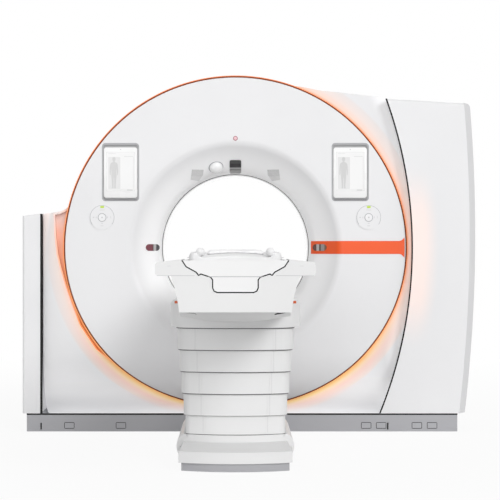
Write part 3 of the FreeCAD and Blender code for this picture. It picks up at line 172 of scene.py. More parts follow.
# ---- materials ----
class Finish:
    """A node material with its own shader, texture coordinates and small helpers."""

    def __init__(self, name, colour, rough, metallic=0.0, **constants):
        self.mat = bpy.data.materials.new(name)
        self.mat.use_nodes = True
        self.shader = self.mat.node_tree.nodes["Principled BSDF"]
        self.shaded(Base_Color=colour, Roughness=rough, Metallic=metallic, **constants)
        self.at = self.node("ShaderNodeTexCoord").outputs["Object"]
        self.base = self.height = None

    def shaded(self, **values):
        """Feed inputs of the shader."""
        for key, value in values.items():
            feed(self.shader.inputs[key.replace("_", " ")], value)
        return self

    def node(self, kind, inputs=(), operation=None, **named):
        return add_node(self.mat.node_tree, kind, inputs, operation, **named)

    def noise(self, scale, detail=3.0, stretch=None):
        at = self.node("ShaderNodeMapping", Vector=self.at, Scale=stretch).outputs[0] if stretch else self.at
        return self.node("ShaderNodeTexNoise", Vector=at, Scale=scale, Detail=detail).outputs["Fac"]

    def ranged(self, value, low, high, to_low, to_high, smooth=False):
        made = self.node("ShaderNodeMapRange", (value, low, high, to_low, to_high))
        if smooth:
            made.interpolation_type = "SMOOTHSTEP"
        return made.outputs[0]

    def maths(self, operation, a, b=0.0):
        return self.node("ShaderNodeMath", (a, b), operation).outputs[0]

    def product(self, first, *others):
        for other in others:
            first = self.maths("MULTIPLY", first, other)
        return first

    def length(self, *parts):
        total = 0.0
        for part in parts:
            total = self.maths("ADD", self.product(part, part), total)
        return self.maths("SQRT", total)

    def axis(self, name):
        return self.node("ShaderNodeSeparateXYZ", (self.at,)).outputs[name]

    def above(self):
        """Height above the isocentre."""
        return self.maths("SUBTRACT", self.axis("Z"), ISO)

    def from_ball(self):
        """Distance from the axis point of the ball-shaped gap along X."""
        return self.maths("ADD", self.axis("X"), -BALL_X)

    def in_front(self, smooth=False):
        """1 on the front of the gantry, 0 behind it."""
        return self.ranged(self.axis("Y"), TINT_FRONT, TINT_BACK, 1, 0, smooth)

    def mixed(self, factor, a, b):
        mix = self.node("ShaderNodeMix")
        mix.data_type = "RGBA"
        for place, value in ((0, factor), (6, a), (7, b)):
            feed(mix.inputs[place], value)
        return mix.outputs[2]

    def ramp(self, value, stops, mode="LINEAR"):
        """A colour by value; stops in rising order are (place, colour), or (place, r, g, b) in screen levels."""
        stops = [stop if len(stop) == 2 else (stop[0], srgb(*stop[1:])) for stop in stops]
        made = self.node("ShaderNodeValToRGB", (value,))
        bar = made.color_ramp
        bar.interpolation = mode
        for element, (place, colour) in zip(bar.elements, (stops[0], stops[-1])):
            element.position = place
            element.color = (*colour, 1)
        for place, colour in stops[1:-1]:
            bar.elements.new(place).color = (*colour, 1)
        return made.outputs["Color"]

    def ring_distance(self):
        """Distance outside the edge of the round cover in the front view: a half circle over a flat oval."""
        z = self.above()
        z = self.maths("MINIMUM", z, self.product(z, LOW_OVAL))
        return self.maths("SUBTRACT", self.length(self.axis("X"), z), SLIT_R)

    def colour(self, socket):
        self.base = socket
        return self.shaded(Base_Color=socket)

    def glow(self, socket, strength):
        return self.shaded(Emission_Color=socket, Emission_Strength=strength)

    def rough(self, socket):
        return self.shaded(Roughness=socket)

    def bump(self, socket, strength, distance):
        made = self.node("ShaderNodeBump", Height=socket, Strength=strength, Distance=distance)
        if self.height is not None:
            feed(made.inputs["Normal"], self.height)
        self.height = made.outputs[0]
        return self.shaded(Normal=self.height)


def srgb(*levels):
    """Linear colour of 0 to 255 screen levels."""
    return tuple(((v / 255 + 0.055) / 1.055) ** 2.4 for v in levels)


def moulded(name, colour, rough, shade=0.03, grain=0.12, **constants):
    """Painted or moulded plastic: faint mottling, handled patches that shine differently, fine orange peel."""
    f = Finish(name, colour, rough, **constants)
    f.rough(f.ranged(f.noise(3.1, 4.0), 0.3, 0.7, rough - 0.05, rough + 0.07))
    dark = tuple(c * (1 - shade) for c in colour)
    f.colour(f.mixed(f.ranged(f.noise(1.7, 5.0), 0.35, 0.7, 0, 1), colour, dark))
    return f.bump(f.noise(420, 2.0), grain, 0.0006)


def metal(name, colour, rough, brushed=None):
    f = Finish(name, colour, rough, metallic=1.0)
    streaks = f.noise(60, 4.0, stretch=brushed) if brushed else f.noise(35, 4.0)
    f.rough(f.ranged(streaks, 0.3, 0.7, rough - 0.08, rough + 0.12))
    f.colour(f.mixed(f.ranged(f.noise(9, 4.0), 0.3, 0.75, 0, 1), colour, tuple(c * 0.82 for c in colour)))
    return f.bump(streaks, 0.15, 0.0004)


def lit_body(name, colour, rough):
    """The body behind the round cover: the light ring's glow is painted on it in amber and pink near the slit, and
    painted light brightens it beside the gaps and at its foot.
    """
    f = moulded(name, colour, rough)
    # painted glow of the light ring: its colour by distance from the slit, stronger low down
    near = f.ranged(f.ring_distance(), 0.0, 0.10, 0, 1)
    strong = f.ramp(near, [(0.0, 250, 200, 132), (0.08, 246, 203, 138), (0.16, 249, 214, 164),
                           (0.26, 251, 220, 192), (0.45, 248, 214, 203), (0.80, 237, 222, 216),
                           (1.0, colour)])
    mild = f.ramp(near, [(0.0, 250, 192, 164), (0.14, 247, 217, 204), (0.40, 240, 225, 219),
                         (0.80, 232, 225, 223), (1.0, colour)])
    z = f.axis("Z")
    painted_ring_glow = f.mixed(f.ranged(z, ISO - 0.65, ISO - 0.25, 0, 1, smooth=True), strong, mild)
    # painted glow: pale pink on the front beside the left gap
    beside = f.product(f.in_front(), f.ranged(f.axis("X"), -0.96, -0.99, 0, 1, smooth=True),
                       f.ranged(z, 0.75, 1.15, 0.0, 1.0, smooth=True))
    body = f.mixed(beside, f.base, srgb(252, 239, 235))
    front = f.in_front(smooth=True)
    total = f.mixed(f.product(front, f.ranged(near, 0.80, 1.0, 1, 0, smooth=True)), body, painted_ring_glow)
    f.colour(total)
    # painted light: emission that lifts the shade at the foot, beside the right tower and near the slit
    foot = f.product(f.ranged(z, 0.46, 0.10, 0.0, 0.42, smooth=True), f.ranged(f.axis("X"), -0.2, 0.4, 1.0, 1.35),
                     f.ranged(f.axis("Y"), -0.15, 0.05, 1, 0))
    painted_light_by_tower = f.ranged(f.length(f.from_ball(), f.axis("Y"), f.above()), 2.35, 2.44, 0.0, 0.27, smooth=True)
    slit = f.ranged(near, 0.0, 0.3, 0.06, 0.0, smooth=True)
    return f.glow(total, f.maths("MAXIMUM", foot, f.product(front, f.maths("ADD", painted_light_by_tower, slit))))


body_white = lit_body("body_white", (0.80, 0.80, 0.81), 0.38)
bore_white = moulded("bore_white", (0.90, 0.90, 0.90), 0.06, grain=0.0, Coat_Weight=1.0, Coat_Roughness=0.03)
dome_white = moulded("dome_white", (0.86, 0.86, 0.86), 0.22, grain=0.02)
tablet_white = moulded("tablet_white", (0.90, 0.90, 0.90), 0.26, shade=0.01, grain=0.02)
drive_black = moulded("drive_black", (0.03, 0.03, 0.035), 0.42)
# black for the throat gasket and latch edges, and for strips of painted shade in gaps, seams and slots
gasket = moulded("gasket_and_shade_black", (0.008, 0.008, 0.008), 0.75, Specular_IOR_Level=0.2)
wiper_grey = moulded("wiper_grey", (0.13, 0.13, 0.13), 0.7, grain=0.02, Specular_IOR_Level=0.2)
mark_grey = moulded("mark_grey", (0.40, 0.40, 0.42), 0.45, grain=0.02)
mark_faint = moulded("mark_faint", (0.60, 0.60, 0.61), 0.45, grain=0.02)
mark_red = moulded("mark_red", (0.62, 0.11, 0.03), 0.4, grain=0.02)
piping_grey = moulded("mattress_piping", (0.70, 0.70, 0.71), 0.6, grain=0.2)
accent = moulded("accent_orange", (0.88, 0.092, 0.004), 0.36, shade=0.05, grain=0.03)
status_pink = moulded("status_pink", (0.80, 0.52, 0.56), 0.18, grain=0.01)
screen = moulded("screen_white", (0.80, 0.80, 0.80), 0.12, shade=0.01, grain=0.0)
screen_line = moulded("screen_line", (0.60, 0.60, 0.60), 0.15, shade=0.01, grain=0.0)
screen_panel = moulded("screen_panel", (0.69, 0.69, 0.69), 0.15, shade=0.01, grain=0.0)
screen_figure = moulded("screen_figure", (0.56, 0.56, 0.56), 0.15, shade=0.01, grain=0.0)
lamp_green = moulded("panel_green", (0.42, 0.56, 0.06), 0.3, grain=0.0, Emission_Color=(0.50, 0.70, 0.08),
                     Emission_Strength=0.25)

# painted light: the covers are a little paler inside the mouth of the bore, which lifts the shade there
f = white = moulded("cover_white", (0.80, 0.80, 0.81), 0.38)
f.colour(f.mixed(f.ranged(f.length(f.axis("X"), f.above()), 0.60, 0.47, 0, 1, smooth=True), f.base,
                 (0.97, 0.97, 0.975)))

# the lit edge in the slit: amber below, orange above
f = glow_orange = Finish("glow_orange", (1.0, 0.16, 0.01), 0.35)
lit = f.ramp(f.ranged(f.axis("Z"), 0.2, 1.9, 0, 1),
             [(0.0, (0.95, 0.52, 0.20)), (0.3, (0.92, 0.36, 0.14)), (1.0, (0.86, 0.27, 0.11))])
f.colour(lit).glow(lit, 0.35).bump(f.noise(300), 0.05, 0.0003)
f.rough(f.ranged(f.noise(20), 0.3, 0.7, 0.28, 0.42))

# painted glow: the pan beside the left shoulder takes the light ring's colour, orange near the ring and low down and
# greyer pink higher up, with emission that lifts the shade in it
f = channel = moulded("channel_orange", (0.93, 0.30, 0.16), 0.45, shade=0.04)
salmon = f.ramp(f.ranged(f.axis("Z"), 0.60, 1.20, 0, 1),
                [(0.0, 250, 150, 80), (0.20, 244, 158, 108), (0.55, 247, 184, 152),
                 (0.80, 246, 194, 174), (0.92, 233, 202, 192), (1.0, 222, 196, 190)])
salmon = f.mixed(f.ranged(f.ring_distance(), 0.0, 0.018, 1, 0, smooth=True), salmon, srgb(255, 176, 120))
f.colour(salmon).glow(salmon, 0.22)

# the right tower takes a little of the light's colour beside the gap
f = tower_white = moulded("tower_white", (0.80, 0.80, 0.81), 0.38)
level = f.ranged(f.maths("ABSOLUTE", f.maths("ADD", f.above(), 0.05)), 0.18, 0.52, 1, 0, smooth=True)
gap_glow = f.ranged(f.length(f.from_ball(), f.above()), 2.450, 2.56, 1, 0, smooth=True)
f.colour(f.mixed(f.product(gap_glow, level, f.in_front()), f.base, srgb(252, 234, 228)))

# fine holes of the speaker grilles
f = grille = moulded("grille_grey", (0.74, 0.74, 0.74), 0.5)
waves = [f.maths("SINE", f.product(f.axis(name), 880.0)) for name in "XZ"]
holes = f.product(f.ranged(f.product(*waves), 0.25, 0.45, 0, 1), f.ranged(f.axis("Z"), 1.398, 1.402, 0, 1))
f.colour(f.mixed(holes, f.base, (0.42, 0.42, 0.42)))

# dark windows: bands across the two at the sides, rows down the one above
f = window_dark = moulded("window_dark", (0.02, 0.012, 0.012), 0.10, grain=0.01)
bands = f.ramp(
    f.ranged(f.axis("X"), -0.6, 0.6, 0, 1),
    [(0.0, (0.20, 0.07, 0.09)), (0.1165, (0.10, 0.09, 0.09)), (0.1200, (0.46, 0.45, 0.45)),
     (0.1305, (0.075, 0.07, 0.075)), (0.80, (0.13, 0.055, 0.045)), (0.873, (0.46, 0.43, 0.42)),
     (0.885, (0.10, 0.07, 0.06)), (0.892, (0.31, 0.28, 0.27)), (0.910, (0.22, 0.11, 0.06))], "CONSTANT")
rows = f.ramp(
    f.ranged(f.axis("Z"), ISO + 0.41, ISO + 0.49, 0, 1),
    [(0.0, (0.30, 0.30, 0.30)), (0.30, (0.20, 0.20, 0.20)), (0.385, (0.46, 0.46, 0.46)),
     (0.445, (0.030, 0.028, 0.030)), (0.70, (0.06, 0.06, 0.06))], "CONSTANT")
f.colour(f.mixed(f.ranged(f.axis("Z"), ISO + 0.3, ISO + 0.31, 0, 1), bands, rows))

f = cloth_white = Finish("mattress_white", (0.88, 0.88, 0.88), 0.62, Sheen_Weight=0.25, Sheen_Roughness=0.5)
weave = f.product(*[f.maths("SINE", f.product(f.axis(name), 1500.0)) for name in "XY"])
f.bump(weave, 0.10, 0.0004).bump(f.noise(14, 5.0), 0.20, 0.004)
f.colour(f.mixed(f.ranged(f.noise(6, 5.0), 0.3, 0.7, 0, 1), (0.90, 0.90, 0.90), (0.83, 0.83, 0.84)))
f.rough(f.ranged(f.noise(9, 3.0), 0.3, 0.7, 0.55, 0.72))

for finish, nodes in (
        (white, "front_cover rear_cover control_panels left_tower_cover"),
        (body_white, "left_body_cover right_body_cover top_housing bottom_housing"),
        (tower_white, "right_tower_cover"),
        # the side panel's grey is partly painted shade of its slanted side
        (moulded("side_panel_grey", (0.70, 0.70, 0.71), 0.40), "right_side_panel"),
        (bore_white, "front_funnel rear_funnel"),
        (moulded("scan_window", (0.90, 0.90, 0.89), 0.08, grain=0.01), "scan_window"),
        (moulded("light_ring_dark", (0.24, 0.055, 0.022), 0.75, grain=0.02, Specular_IOR_Level=0.1), "light_ring"),
        (channel, "light_channel"),
        (accent, "accent_bar"),
        (window_dark, "laser_windows"),
        (dome_white, "camera_dome"),
        (grille, "speaker_grilles"),
        # the docks' grey is partly painted shade in their recesses
        (moulded("dock_grey", (0.46, 0.46, 0.47), 0.50), "tablet_docks"),
        (tablet_white, "tablets"),
        (moulded("button_white", (0.84, 0.84, 0.85), 0.30, grain=0.03), "stop_button_left stop_button_right"),
        (moulded("status_red", (0.32, 0.06, 0.09), 0.25, grain=0.02), "status_light"),
        (metal("frame_steel", (0.42, 0.43, 0.45), 0.45),
         "base_frame pedestals tilt_frame table_base_frame table_frame"),
        (moulded("cabinet_grey", (0.35, 0.36, 0.38), 0.45), "power_cabinet hv_generator cooling_unit"),
        (drive_black, "tilt_drive"),
        (moulded("plinth_grey", (0.40, 0.40, 0.42), 0.45), "plinth_boards table_plinth"),
        (metal("post_steel", (0.60, 0.61, 0.62), 0.25, brushed=(1, 1, 0.02)), "post_outer post_middle post_inner"),
        (metal("rotor_aluminium", (0.66, 0.67, 0.69), 0.35), "rotor_drum rotor_plate detector"),
        (metal("tube_metal", (0.55, 0.55, 0.56), 0.30), "xray_source"),
        (moulded("table_white", (0.78, 0.78, 0.78), 0.36),
         "table_shell table_end_cover table_wings column_section_1 table_base_cover"),
        (moulded("sleeve_white", (0.79, 0.79, 0.79), 0.40),
         "column_section_2 column_section_3 column_section_4 column_section_5 column_section_6"),
        (moulded("table_top_white", (0.84, 0.84, 0.84), 0.30, grain=0.05), "tabletop carriage"),
        (cloth_white, "mattress positioning_rolls head_cushion")):
    for node in nodes.split():
        for slot in NODES[node].material_slots:
            slot.material = finish.mat


# ---- mesh helpers ----
def turns(steps):
    return [2 * pi * k / steps for k in range(steps)]


def settle_shading(mesh, sharp):
    bm = bmesh.new()
    bm.from_mesh(mesh)
    bmesh.ops.recalc_face_normals(bm, faces=bm.faces)
    bm.to_mesh(mesh)
    bm.free()
    mesh.shade_smooth()
    mesh.set_sharp_from_angle(angle=radians(sharp))


def new_object(name, verts, faces, sharp=35.0):
    mesh = bpy.data.meshes.new(name)
    mesh.from_pydata([tuple(v) for v in verts], [], faces)
    settle_shading(mesh, sharp)
    obj = bpy.data.objects.new(name, mesh)
    bpy.context.collection.objects.link(obj)
    return obj


def piece(name, verts, faces, finish, body, sharp=35.0):
    obj = new_object(name, verts, faces, sharp)
    obj.data.materials.append(finish.mat)
    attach(obj, body)
    return obj


def applied(obj, sharp):
    """Turn the object's modifiers into its own mesh."""
    graph = bpy.context.evaluated_depsgraph_get()
    mesh = bpy.data.meshes.new_from_object(obj.evaluated_get(graph))
    obj.modifiers.clear()
    obj.data = mesh
    settle_shading(mesh, sharp)


def loft_faces(count, rows, closed, cap, start=0):
    faces = []
    for i in range(rows if closed else rows - 1):
        a, b = start + i * count, start + ((i + 1) % rows) * count
        for j in range(count):
            k = (j + 1) % count
            faces.append((a + j, a + k, b + k, b + j))
    if cap:
        last = start + (rows - 1) * count
        faces.append(tuple(range(start, start + count)))
        faces.append(tuple(range(last + count - 1, last - 1, -1)))
    return faces


def loft(name, loops, finish, body, closed=True, cap=False, sharp=35.0):
    """Loops with the same number of points, joined one to the next."""
    verts = [p for loop in loops for p in loop]
    return piece(name, verts, loft_faces(len(loops[0]), len(loops), closed, cap), finish, body, sharp)


def joined_solids(name, solids, finish, body, sharp=35.0):
    """Several closed lofts as one object; each solid is a list of loops, capped at its ends."""
    verts, faces = [], []
    for loops in solids:
        faces += loft_faces(len(loops[0]), len(loops), False, True, len(verts))
        verts += [p for loop in loops for p in loop]
    return piece(name, verts, faces, finish, body, sharp)


def turned(name, profile, steps, finish, body, slot=None, *, at, along, closed=False, sharp=35.0):
    """A profile of (radius, height) pairs turned about an axis."""
    turn = Vector(along).to_track_quat("Z", "Y")
    loops = []
    for radius, height in profile:
        loops.append([Vector(at) + turn @ Vector((radius * cos(a), radius * sin(a), height))
                      for a in turns(steps)])
    return loft(name, loops, finish, body, closed=closed, cap=not closed, sharp=sharp)


# ---- outlines in the front view, as lists of (x, z) points ----
def block(x0, x1, z0, z1):
    """A plain rectangle; its two x values may come in either order."""
    x0, x1 = sorted((x0, x1))
    return [(x0, z0), (x1, z0), (x1, z1), (x0, z1)]


def rounded(cx, cz, w, h, r, steps=6):
    """A rectangle with round corners; cz is above the isocentre."""
    points = []
    for corner, (sx, sz) in enumerate(((1, 1), (-1, 1), (-1, -1), (1, -1))):
        for k in range(steps + 1):
            a = radians(90 * (corner + k / steps))
            points.append((cx + sx * (w / 2 - r) + r * cos(a), ISO + cz + sz * (h / 2 - r) + r * sin(a)))
    return points


def disc(cx, cz, r, steps=32):
    """A circle; cz is above the isocentre."""
    return [(cx + r * cos(a), ISO + cz + r * sin(a)) for a in turns(steps)]


# ---- loops made from outlines ----
def slab(outline, *depths):
    return [[(x, y, z) for x, z in outline] for y in depths]


def plate(outline, front, back, edge=0.0):
    """A flat piece with a small round edge at the front."""
    cx = sum(p[0] for p in outline) / len(outline)
    cz = sum(p[1] for p in outline) / len(outline)
    sx = 1 - edge / max(abs(p[0] - cx) for p in outline)
    sz = 1 - edge / max(abs(p[1] - cz) for p in outline)
    loops = slab(outline, back, front + edge)
    if edge:
        loops.append([(cx + (x - cx) * (1 + sx) / 2, front + edge * 0.29, cz + (z - cz) * (1 + sz) / 2)
                      for x, z in outline])
        loops.append([(cx + (x - cx) * sx, front, cz + (z - cz) * sz) for x, z in outline])
    return loops


def between(outlines, corners):
    """A strip between two outlines; corners are (index of the outline, y) pairs round its cross-section."""
    return [[(pair[i][0], y, pair[i][1]) for i, y in corners] for pair in zip(*outlines)]


def arc_band(cx, cz, r0, r1, start, end, front, back, steps=40):
    """A flat ring sector that faces forward."""
    loops = []
    for k in range(steps + 1):
        a = radians(start + (end - start) * k / steps)
        ring = [(r0, back), (r0, front), (r1, front), (r1, back)]
        loops.append([(cx + r * cos(a), y, ISO + cz + r * sin(a)) for r, y in ring])
    return loops


def laid_on(node, outline, proud, sunk=0.002):
    """A thin piece that follows a node's front surface under its outline."""
    front = [(x, NODES[node].ray_cast(Vector((x, -4.0, z)), Vector((0, 1, 0)))[1].y - proud, z) for x, z in outline]
    return [[(x, y + proud + sunk, z) for x, y, z in front], front]


# ---- the front face: flat, with a lower part that curves back, and the wall of the bore ----
def face_y(z, depth):
    """Place of the front face at a height above the isocentre, a depth behind it."""
    if z >= LEAN_Z:
        return FACE_Y + depth
    return FACE_Y + LEAN_R - sqrt((LEAN_R - depth) ** 2 - (z - LEAN_Z) ** 2)


def edge_of_disc(a, grow):
    low = DISC_LOW if sin(a) < 0 else DISC_R
    return (DISC_R + grow) * cos(a), (low + grow) * sin(a)


def edge_loop(grow, depth):
    """A loop round the edge of the cover, so far outside it and behind its face."""
    loop = []
    for a in turns(DISC_STEPS):
        x, z = edge_of_disc(a, grow)
        loop.append((x, face_y(z, depth), ISO + z))
    return loop


def wall_rows(offset):
    """Radius and y of the bore wall from the mouth's rounding to the throat; offset grows into the wall."""
    mouth_steps, cone_steps, throat_steps, end_y = 8, 4, 14, -0.238
    rows = []
    for k in range(mouth_steps + 1):
        a = radians(45 * k / mouth_steps)
        r = MOUTH_ROUND - offset
        rows.append((MOUTH_START - r * sin(a), FACE_Y + MOUTH_ROUND - r * cos(a)))
    r = THROAT_ROUND - offset
    start = (THROAT_R - r * sin(radians(45)), THROAT_Y - r * cos(radians(45)))
    for k in range(1, cone_steps):
        rows.append(tuple(a + (b - a) * k / cone_steps for a, b in zip(rows[mouth_steps], start)))
    for k in range(throat_steps + 1):
        a = radians(45 + 45 * k / throat_steps)
        point = (THROAT_R - r * sin(a), THROAT_Y - r * cos(a))
        if point[1] > end_y:
            break
        rows.append(point)
    return rows


def wall_at(r):
    """y of the front wall at a radius, and the angle of its normal: 0 faces forward, 90 faces the axis."""
    if r >= MOUTH_START:
        return FACE_Y, 0.0
    if r >= MOUTH_START - MOUTH_ROUND * sin(radians(45)):
        a = asin((MOUTH_START - r) / MOUTH_ROUND)
        return FACE_Y + MOUTH_ROUND - MOUTH_ROUND * cos(a), a
    if r >= THROAT_R - THROAT_ROUND * sin(radians(45)):
        return CONE_START - r, radians(45)
    a = asin(min((THROAT_R - r) / THROAT_ROUND, 1.0))
    return THROAT_Y - THROAT_ROUND * cos(a), a


def on_wall(x, z, proud):
    """A point in front of the bore wall or face, by its front view and its height above the surface."""
    r = hypot(x, z)
    y, a = wall_at(r)
    shrink = (r - proud * sin(a)) / r
    return x * shrink, y - proud * cos(a), ISO + z * shrink


def make_front_shell():
    """The round front cover and the front of the bore as one skin with a soft mouth."""
    skin, face_rows, back_rows = 0.022, 26, 10

    def face_row(share, depth, inner):
        loop = []
        for a in turns(DISC_STEPS):
            ex, ez = edge_of_disc(a, -0.0030)
            x = ex + (inner * cos(a) - ex) * share
            z = ez + (inner * sin(a) - ez) * share
            loop.append((x, face_y(z, depth), ISO + z))
        return loop

    def round_row(r, y):
        return [(r * cos(a), y, ISO + r * sin(a)) for a in turns(DISC_STEPS)]

    loops = [edge_loop(0, skin), edge_loop(0, 0.0024), edge_loop(-0.0003, 0.0012), edge_loop(-0.0010, 0.0004),
             edge_loop(-0.0020, 0.0001)]
    loops += [face_row(k / face_rows, 0, MOUTH_START) for k in range(face_rows)]
    loops += [round_row(r, y) for r, y in wall_rows(0)]
    loops += [round_row(r, y) for r, y in reversed(wall_rows(0.005)) if y > FACE_Y + 0.024]
    loops += [face_row(k / back_rows, skin, 0.570) for k in range(back_rows, 0, -1)]
    shell = loft("front_shell", loops, white, "gantry")
    cutters = []
    for side, _ in SIDES:
        for outline, depth in ((rounded(side * TABLET_X, TABLET_Z, 0.1966, 0.3126, 0.0163), 0.016),
                               (disc(side * PANEL_X, PANEL_Z, 0.026, 48), 0.014)):
            verts = [p for loop in slab(outline, FACE_Y - 0.01, FACE_Y + depth) for p in loop]
            cutters.append(new_object("cutter", verts, loft_faces(len(outline), 2, False, True)))
            mod = shell.modifiers.new("cut", "BOOLEAN")
            mod.operation = "DIFFERENCE"
            mod.solver = "EXACT"
            mod.object = cutters[-1]
    applied(shell, 30)
    for cutter in cutters:
        bpy.data.objects.remove(cutter)
    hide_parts("front_cover", "front_funnel")


def make_bore():
    """The glossy tube with its film window, the thin dark gasket at the throat, and the rear funnel."""
    turned_y = dict(at=(0, 0, ISO), along=(0, 1, 0), closed=True)
    lip = [(0.4135, -0.2475), (0.4095, -0.2465), (0.4086, -0.2440), (0.4086, -0.2395), (0.4098, -0.2375),
           (0.4140, -0.2375)]
    turned("throat_gasket", lip, 256, gasket, "gantry", **turned_y)
    tube = [(0.4130, -0.2365), (0.4102, -0.2365), (0.4098, -0.2350), (0.4098, -0.125), (0.4092, -0.1235),
            (0.4088, -0.120), (0.4088, 0.060), (0.4092, 0.0635), (0.4098, 0.065), (0.4098, 0.2329),
            (0.4130, 0.2329)]
    bore = turned("bore_tube", tube, 256, bore_white, "gantry", "scan_window", **turned_y)
    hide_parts("scan_window")

    def rear(offset):
        rows = [(0.410 + offset, 0.2335)]
        for k in range(1, 13):
            a = radians(90 - 45 * k / 12)
            r = THROAT_ROUND - offset
            rows.append((THROAT_R - r * sin(a), REAR_THROAT_Y + r * cos(a)))
        for k in range(5):
            a = radians(45 - 45 * k / 4)
            r = 0.012 - offset
            rows.append((0.56497 - r * sin(a), 0.433 + r * cos(a)))
        return rows

    skin = turned("rear_funnel_skin", rear(0) + rear(0.005)[::-1], 192, white, "gantry", "bore_white",
                  **turned_y)
    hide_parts("rear_funnel")


def make_glow_ring():
    """The light-coloured edge that shows in the slit behind the dark line of the light ring."""
    corners = [(0.0078, 0.006), (0.0092, 0.0052), (0.0108, 0.0052), (0.0118, 0.006), (0.0118, 0.016),
               (0.0078, 0.016)]
    loops = [edge_loop(grow, depth) for grow, depth in corners]
    loft("glow_ring", loops, glow_orange, "gantry")


def make_accent_bar():
    """The orange bar that runs from the throat out to the ring, where it flares."""
    start, end, count = 0.424, 0.9285, 96
    loops = []
    for k in range(count + 1):
        share = k / count
        flare = max(start + share * (end - start) - 0.898, 0) / 0.037
        low = -0.034 - 0.032 * flare ** 2
        high = 0.037 + 0.030 * flare ** 2
        section = [(low, 0.0003), (low, 0.0020), (low + 0.0012, 0.0030)]
        section += [(low + (high - low) * s, 0.0030) for s in (0.2, 0.4, 0.6, 0.8)]
        section += [(high - 0.0012, 0.0030), (high, 0.0020), (high, 0.0003)]
        loops.append([on_wall(start + share * (sqrt(end ** 2 - z ** 2) - start), z, proud)
                      for z, proud in section])
    bar = loft("accent_bar_skin", loops, accent, "gantry", closed=False, cap=True)
    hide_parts("accent_bar")


def make_dome():
    """The camera dome in the mouth of the bore with the gasket round its foot."""
    x, z = -0.108, 0.448
    radial = hypot(x, z)
    at = (x, FACE_Y + 0.571 - radial, ISO + z)
    out = (-x / radial, -1, -z / radial)
    rim = [(0.0395, -0.002), (0.0415, 0.0005), (0.0410, 0.0022), (0.0390, 0.0030), (0.0375, 0.0022),
           (0.0370, -0.002)]
    turned("dome_gasket", rim, 64, mark_grey, "gantry", at=at, along=out, closed=True)
    cap = [(0.0366, -0.002), (0.0368, 0.0016)]
    for k in range(14):
        a = radians(90 * k / 14)
        cap.append((0.0372 * cos(a), 0.0020 + 0.0335 * sin(a)))
    cap.append((0.0008, 0.0356))
    dome = turned("camera_dome_skin", cap, 64, dome_white, "gantry", "dome_white", at=at, along=out, sharp=50)
    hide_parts("camera_dome")


# right half of the plain body outline on the screens, from the top of the head down
BODY_MARK = [(0.0, 0.086), (0.007, 0.083), (0.0095, 0.075), (0.007, 0.066), (0.0045, 0.062), (0.005, 0.058),
             (0.015, 0.054), (0.020, 0.047), (0.0225, 0.030), (0.0235, 0.005), (0.022, -0.012), (0.018, -0.014),
             (0.0165, 0.000), (0.015, 0.022), (0.0135, 0.005), (0.0145, -0.015), (0.0120, -0.045),
             (0.0095, -0.078), (0.012, -0.086), (0.002, -0.086), (0.0015, -0.040), (0.0, -0.022)]


def make_tablets():
    """Bezels, a plain screen layout and a small lens on both tablets, and a grey frame round the edges of their
    docks that is partly painted shade.
    """
    y = FACE_Y + 0.003
    at = y - 0.0006
    for side, label in SIDES:
        def add(name, outlines, front, back, finish, edge=0.0, sharp=35.0):
            plates = [plate(outline, front, back, edge) for outline in outlines]
            joined_solids(name + label, plates, finish, "gantry", sharp)

        cx = side * TABLET_X
        middle = cx - 0.0005
        left = middle - 0.077
        add("tablet_rim_", [rounded(cx, TABLET_Z, 0.1846, 0.2766, 0.0145, 8)], at, y + 0.0088, tablet_white,
            edge=0.0018, sharp=50)
        add("screen_frame_", [rounded(middle, 0.419, 0.1560, 0.2135, 0.002, 3)], at - 0.0002, at + 0.0004,
            screen_line)
        add("screen_glass_", [rounded(middle, 0.419, 0.1535, 0.2110, 0.002, 3)], at - 0.0005, at, screen)
        add("screen_panel_", [rounded(left + 0.043, 0.410, 0.066, 0.174, 0.001, 2)], at - 0.0008, at - 0.0003,
            screen_panel)
        add("screen_lines_", [rounded(left + 0.1215, 0.5012, 0.048, 0.0022, 0.0005, 2),
                              rounded(left + 0.030, 0.5165, 0.040, 0.0016, 0.0005, 2),
                              rounded(middle, 0.3205, 0.145, 0.0016, 0.0005, 2),
                              rounded(left + 0.128, 0.3158, 0.030, 0.0060, 0.0005, 2),
                              rounded(left + 0.148, 0.410, 0.0014, 0.174, 0.0004, 2)],
            at - 0.0008, at - 0.0003, screen_line)
        half = [(left + 0.041 + x, ISO + TABLET_Z + z) for x, z in BODY_MARK]
        other = [(left + 0.041 - x, ISO + TABLET_Z + z) for x, z in BODY_MARK[1:-1]]
        add("screen_body_", [half + other[::-1]], at - 0.0011, at - 0.0006, screen_figure)
        add("tablet_lens_", [disc(cx, 0.5385, 0.0022, 16)], at - 0.0004, at + 0.0004, mark_grey)
        # grey frame round the dock's opening, partly painted shade of the recess
        shade_frame_loops = between((rounded(cx, 0.4150, 0.2040, 0.3200, 0.0200, 8),
                               rounded(cx, 0.4120, 0.1968, 0.3128, 0.0164, 8)),
                              ((0, FACE_Y + 0.0002), (0, FACE_Y - 0.0006), (1, FACE_Y - 0.0008),
                               (1, FACE_Y + 0.0010)))
        joined_solids("dock_frame_and_shade_" + label, [shade_frame_loops + shade_frame_loops[:1]], mark_grey, "gantry")
        add("dock_sill_", [rounded(cx, 0.2615, 0.190, 0.0045, 0.0015, 3)], FACE_Y + 0.0005, FACE_Y + 0.0125,
            drive_black, edge=0.0008)


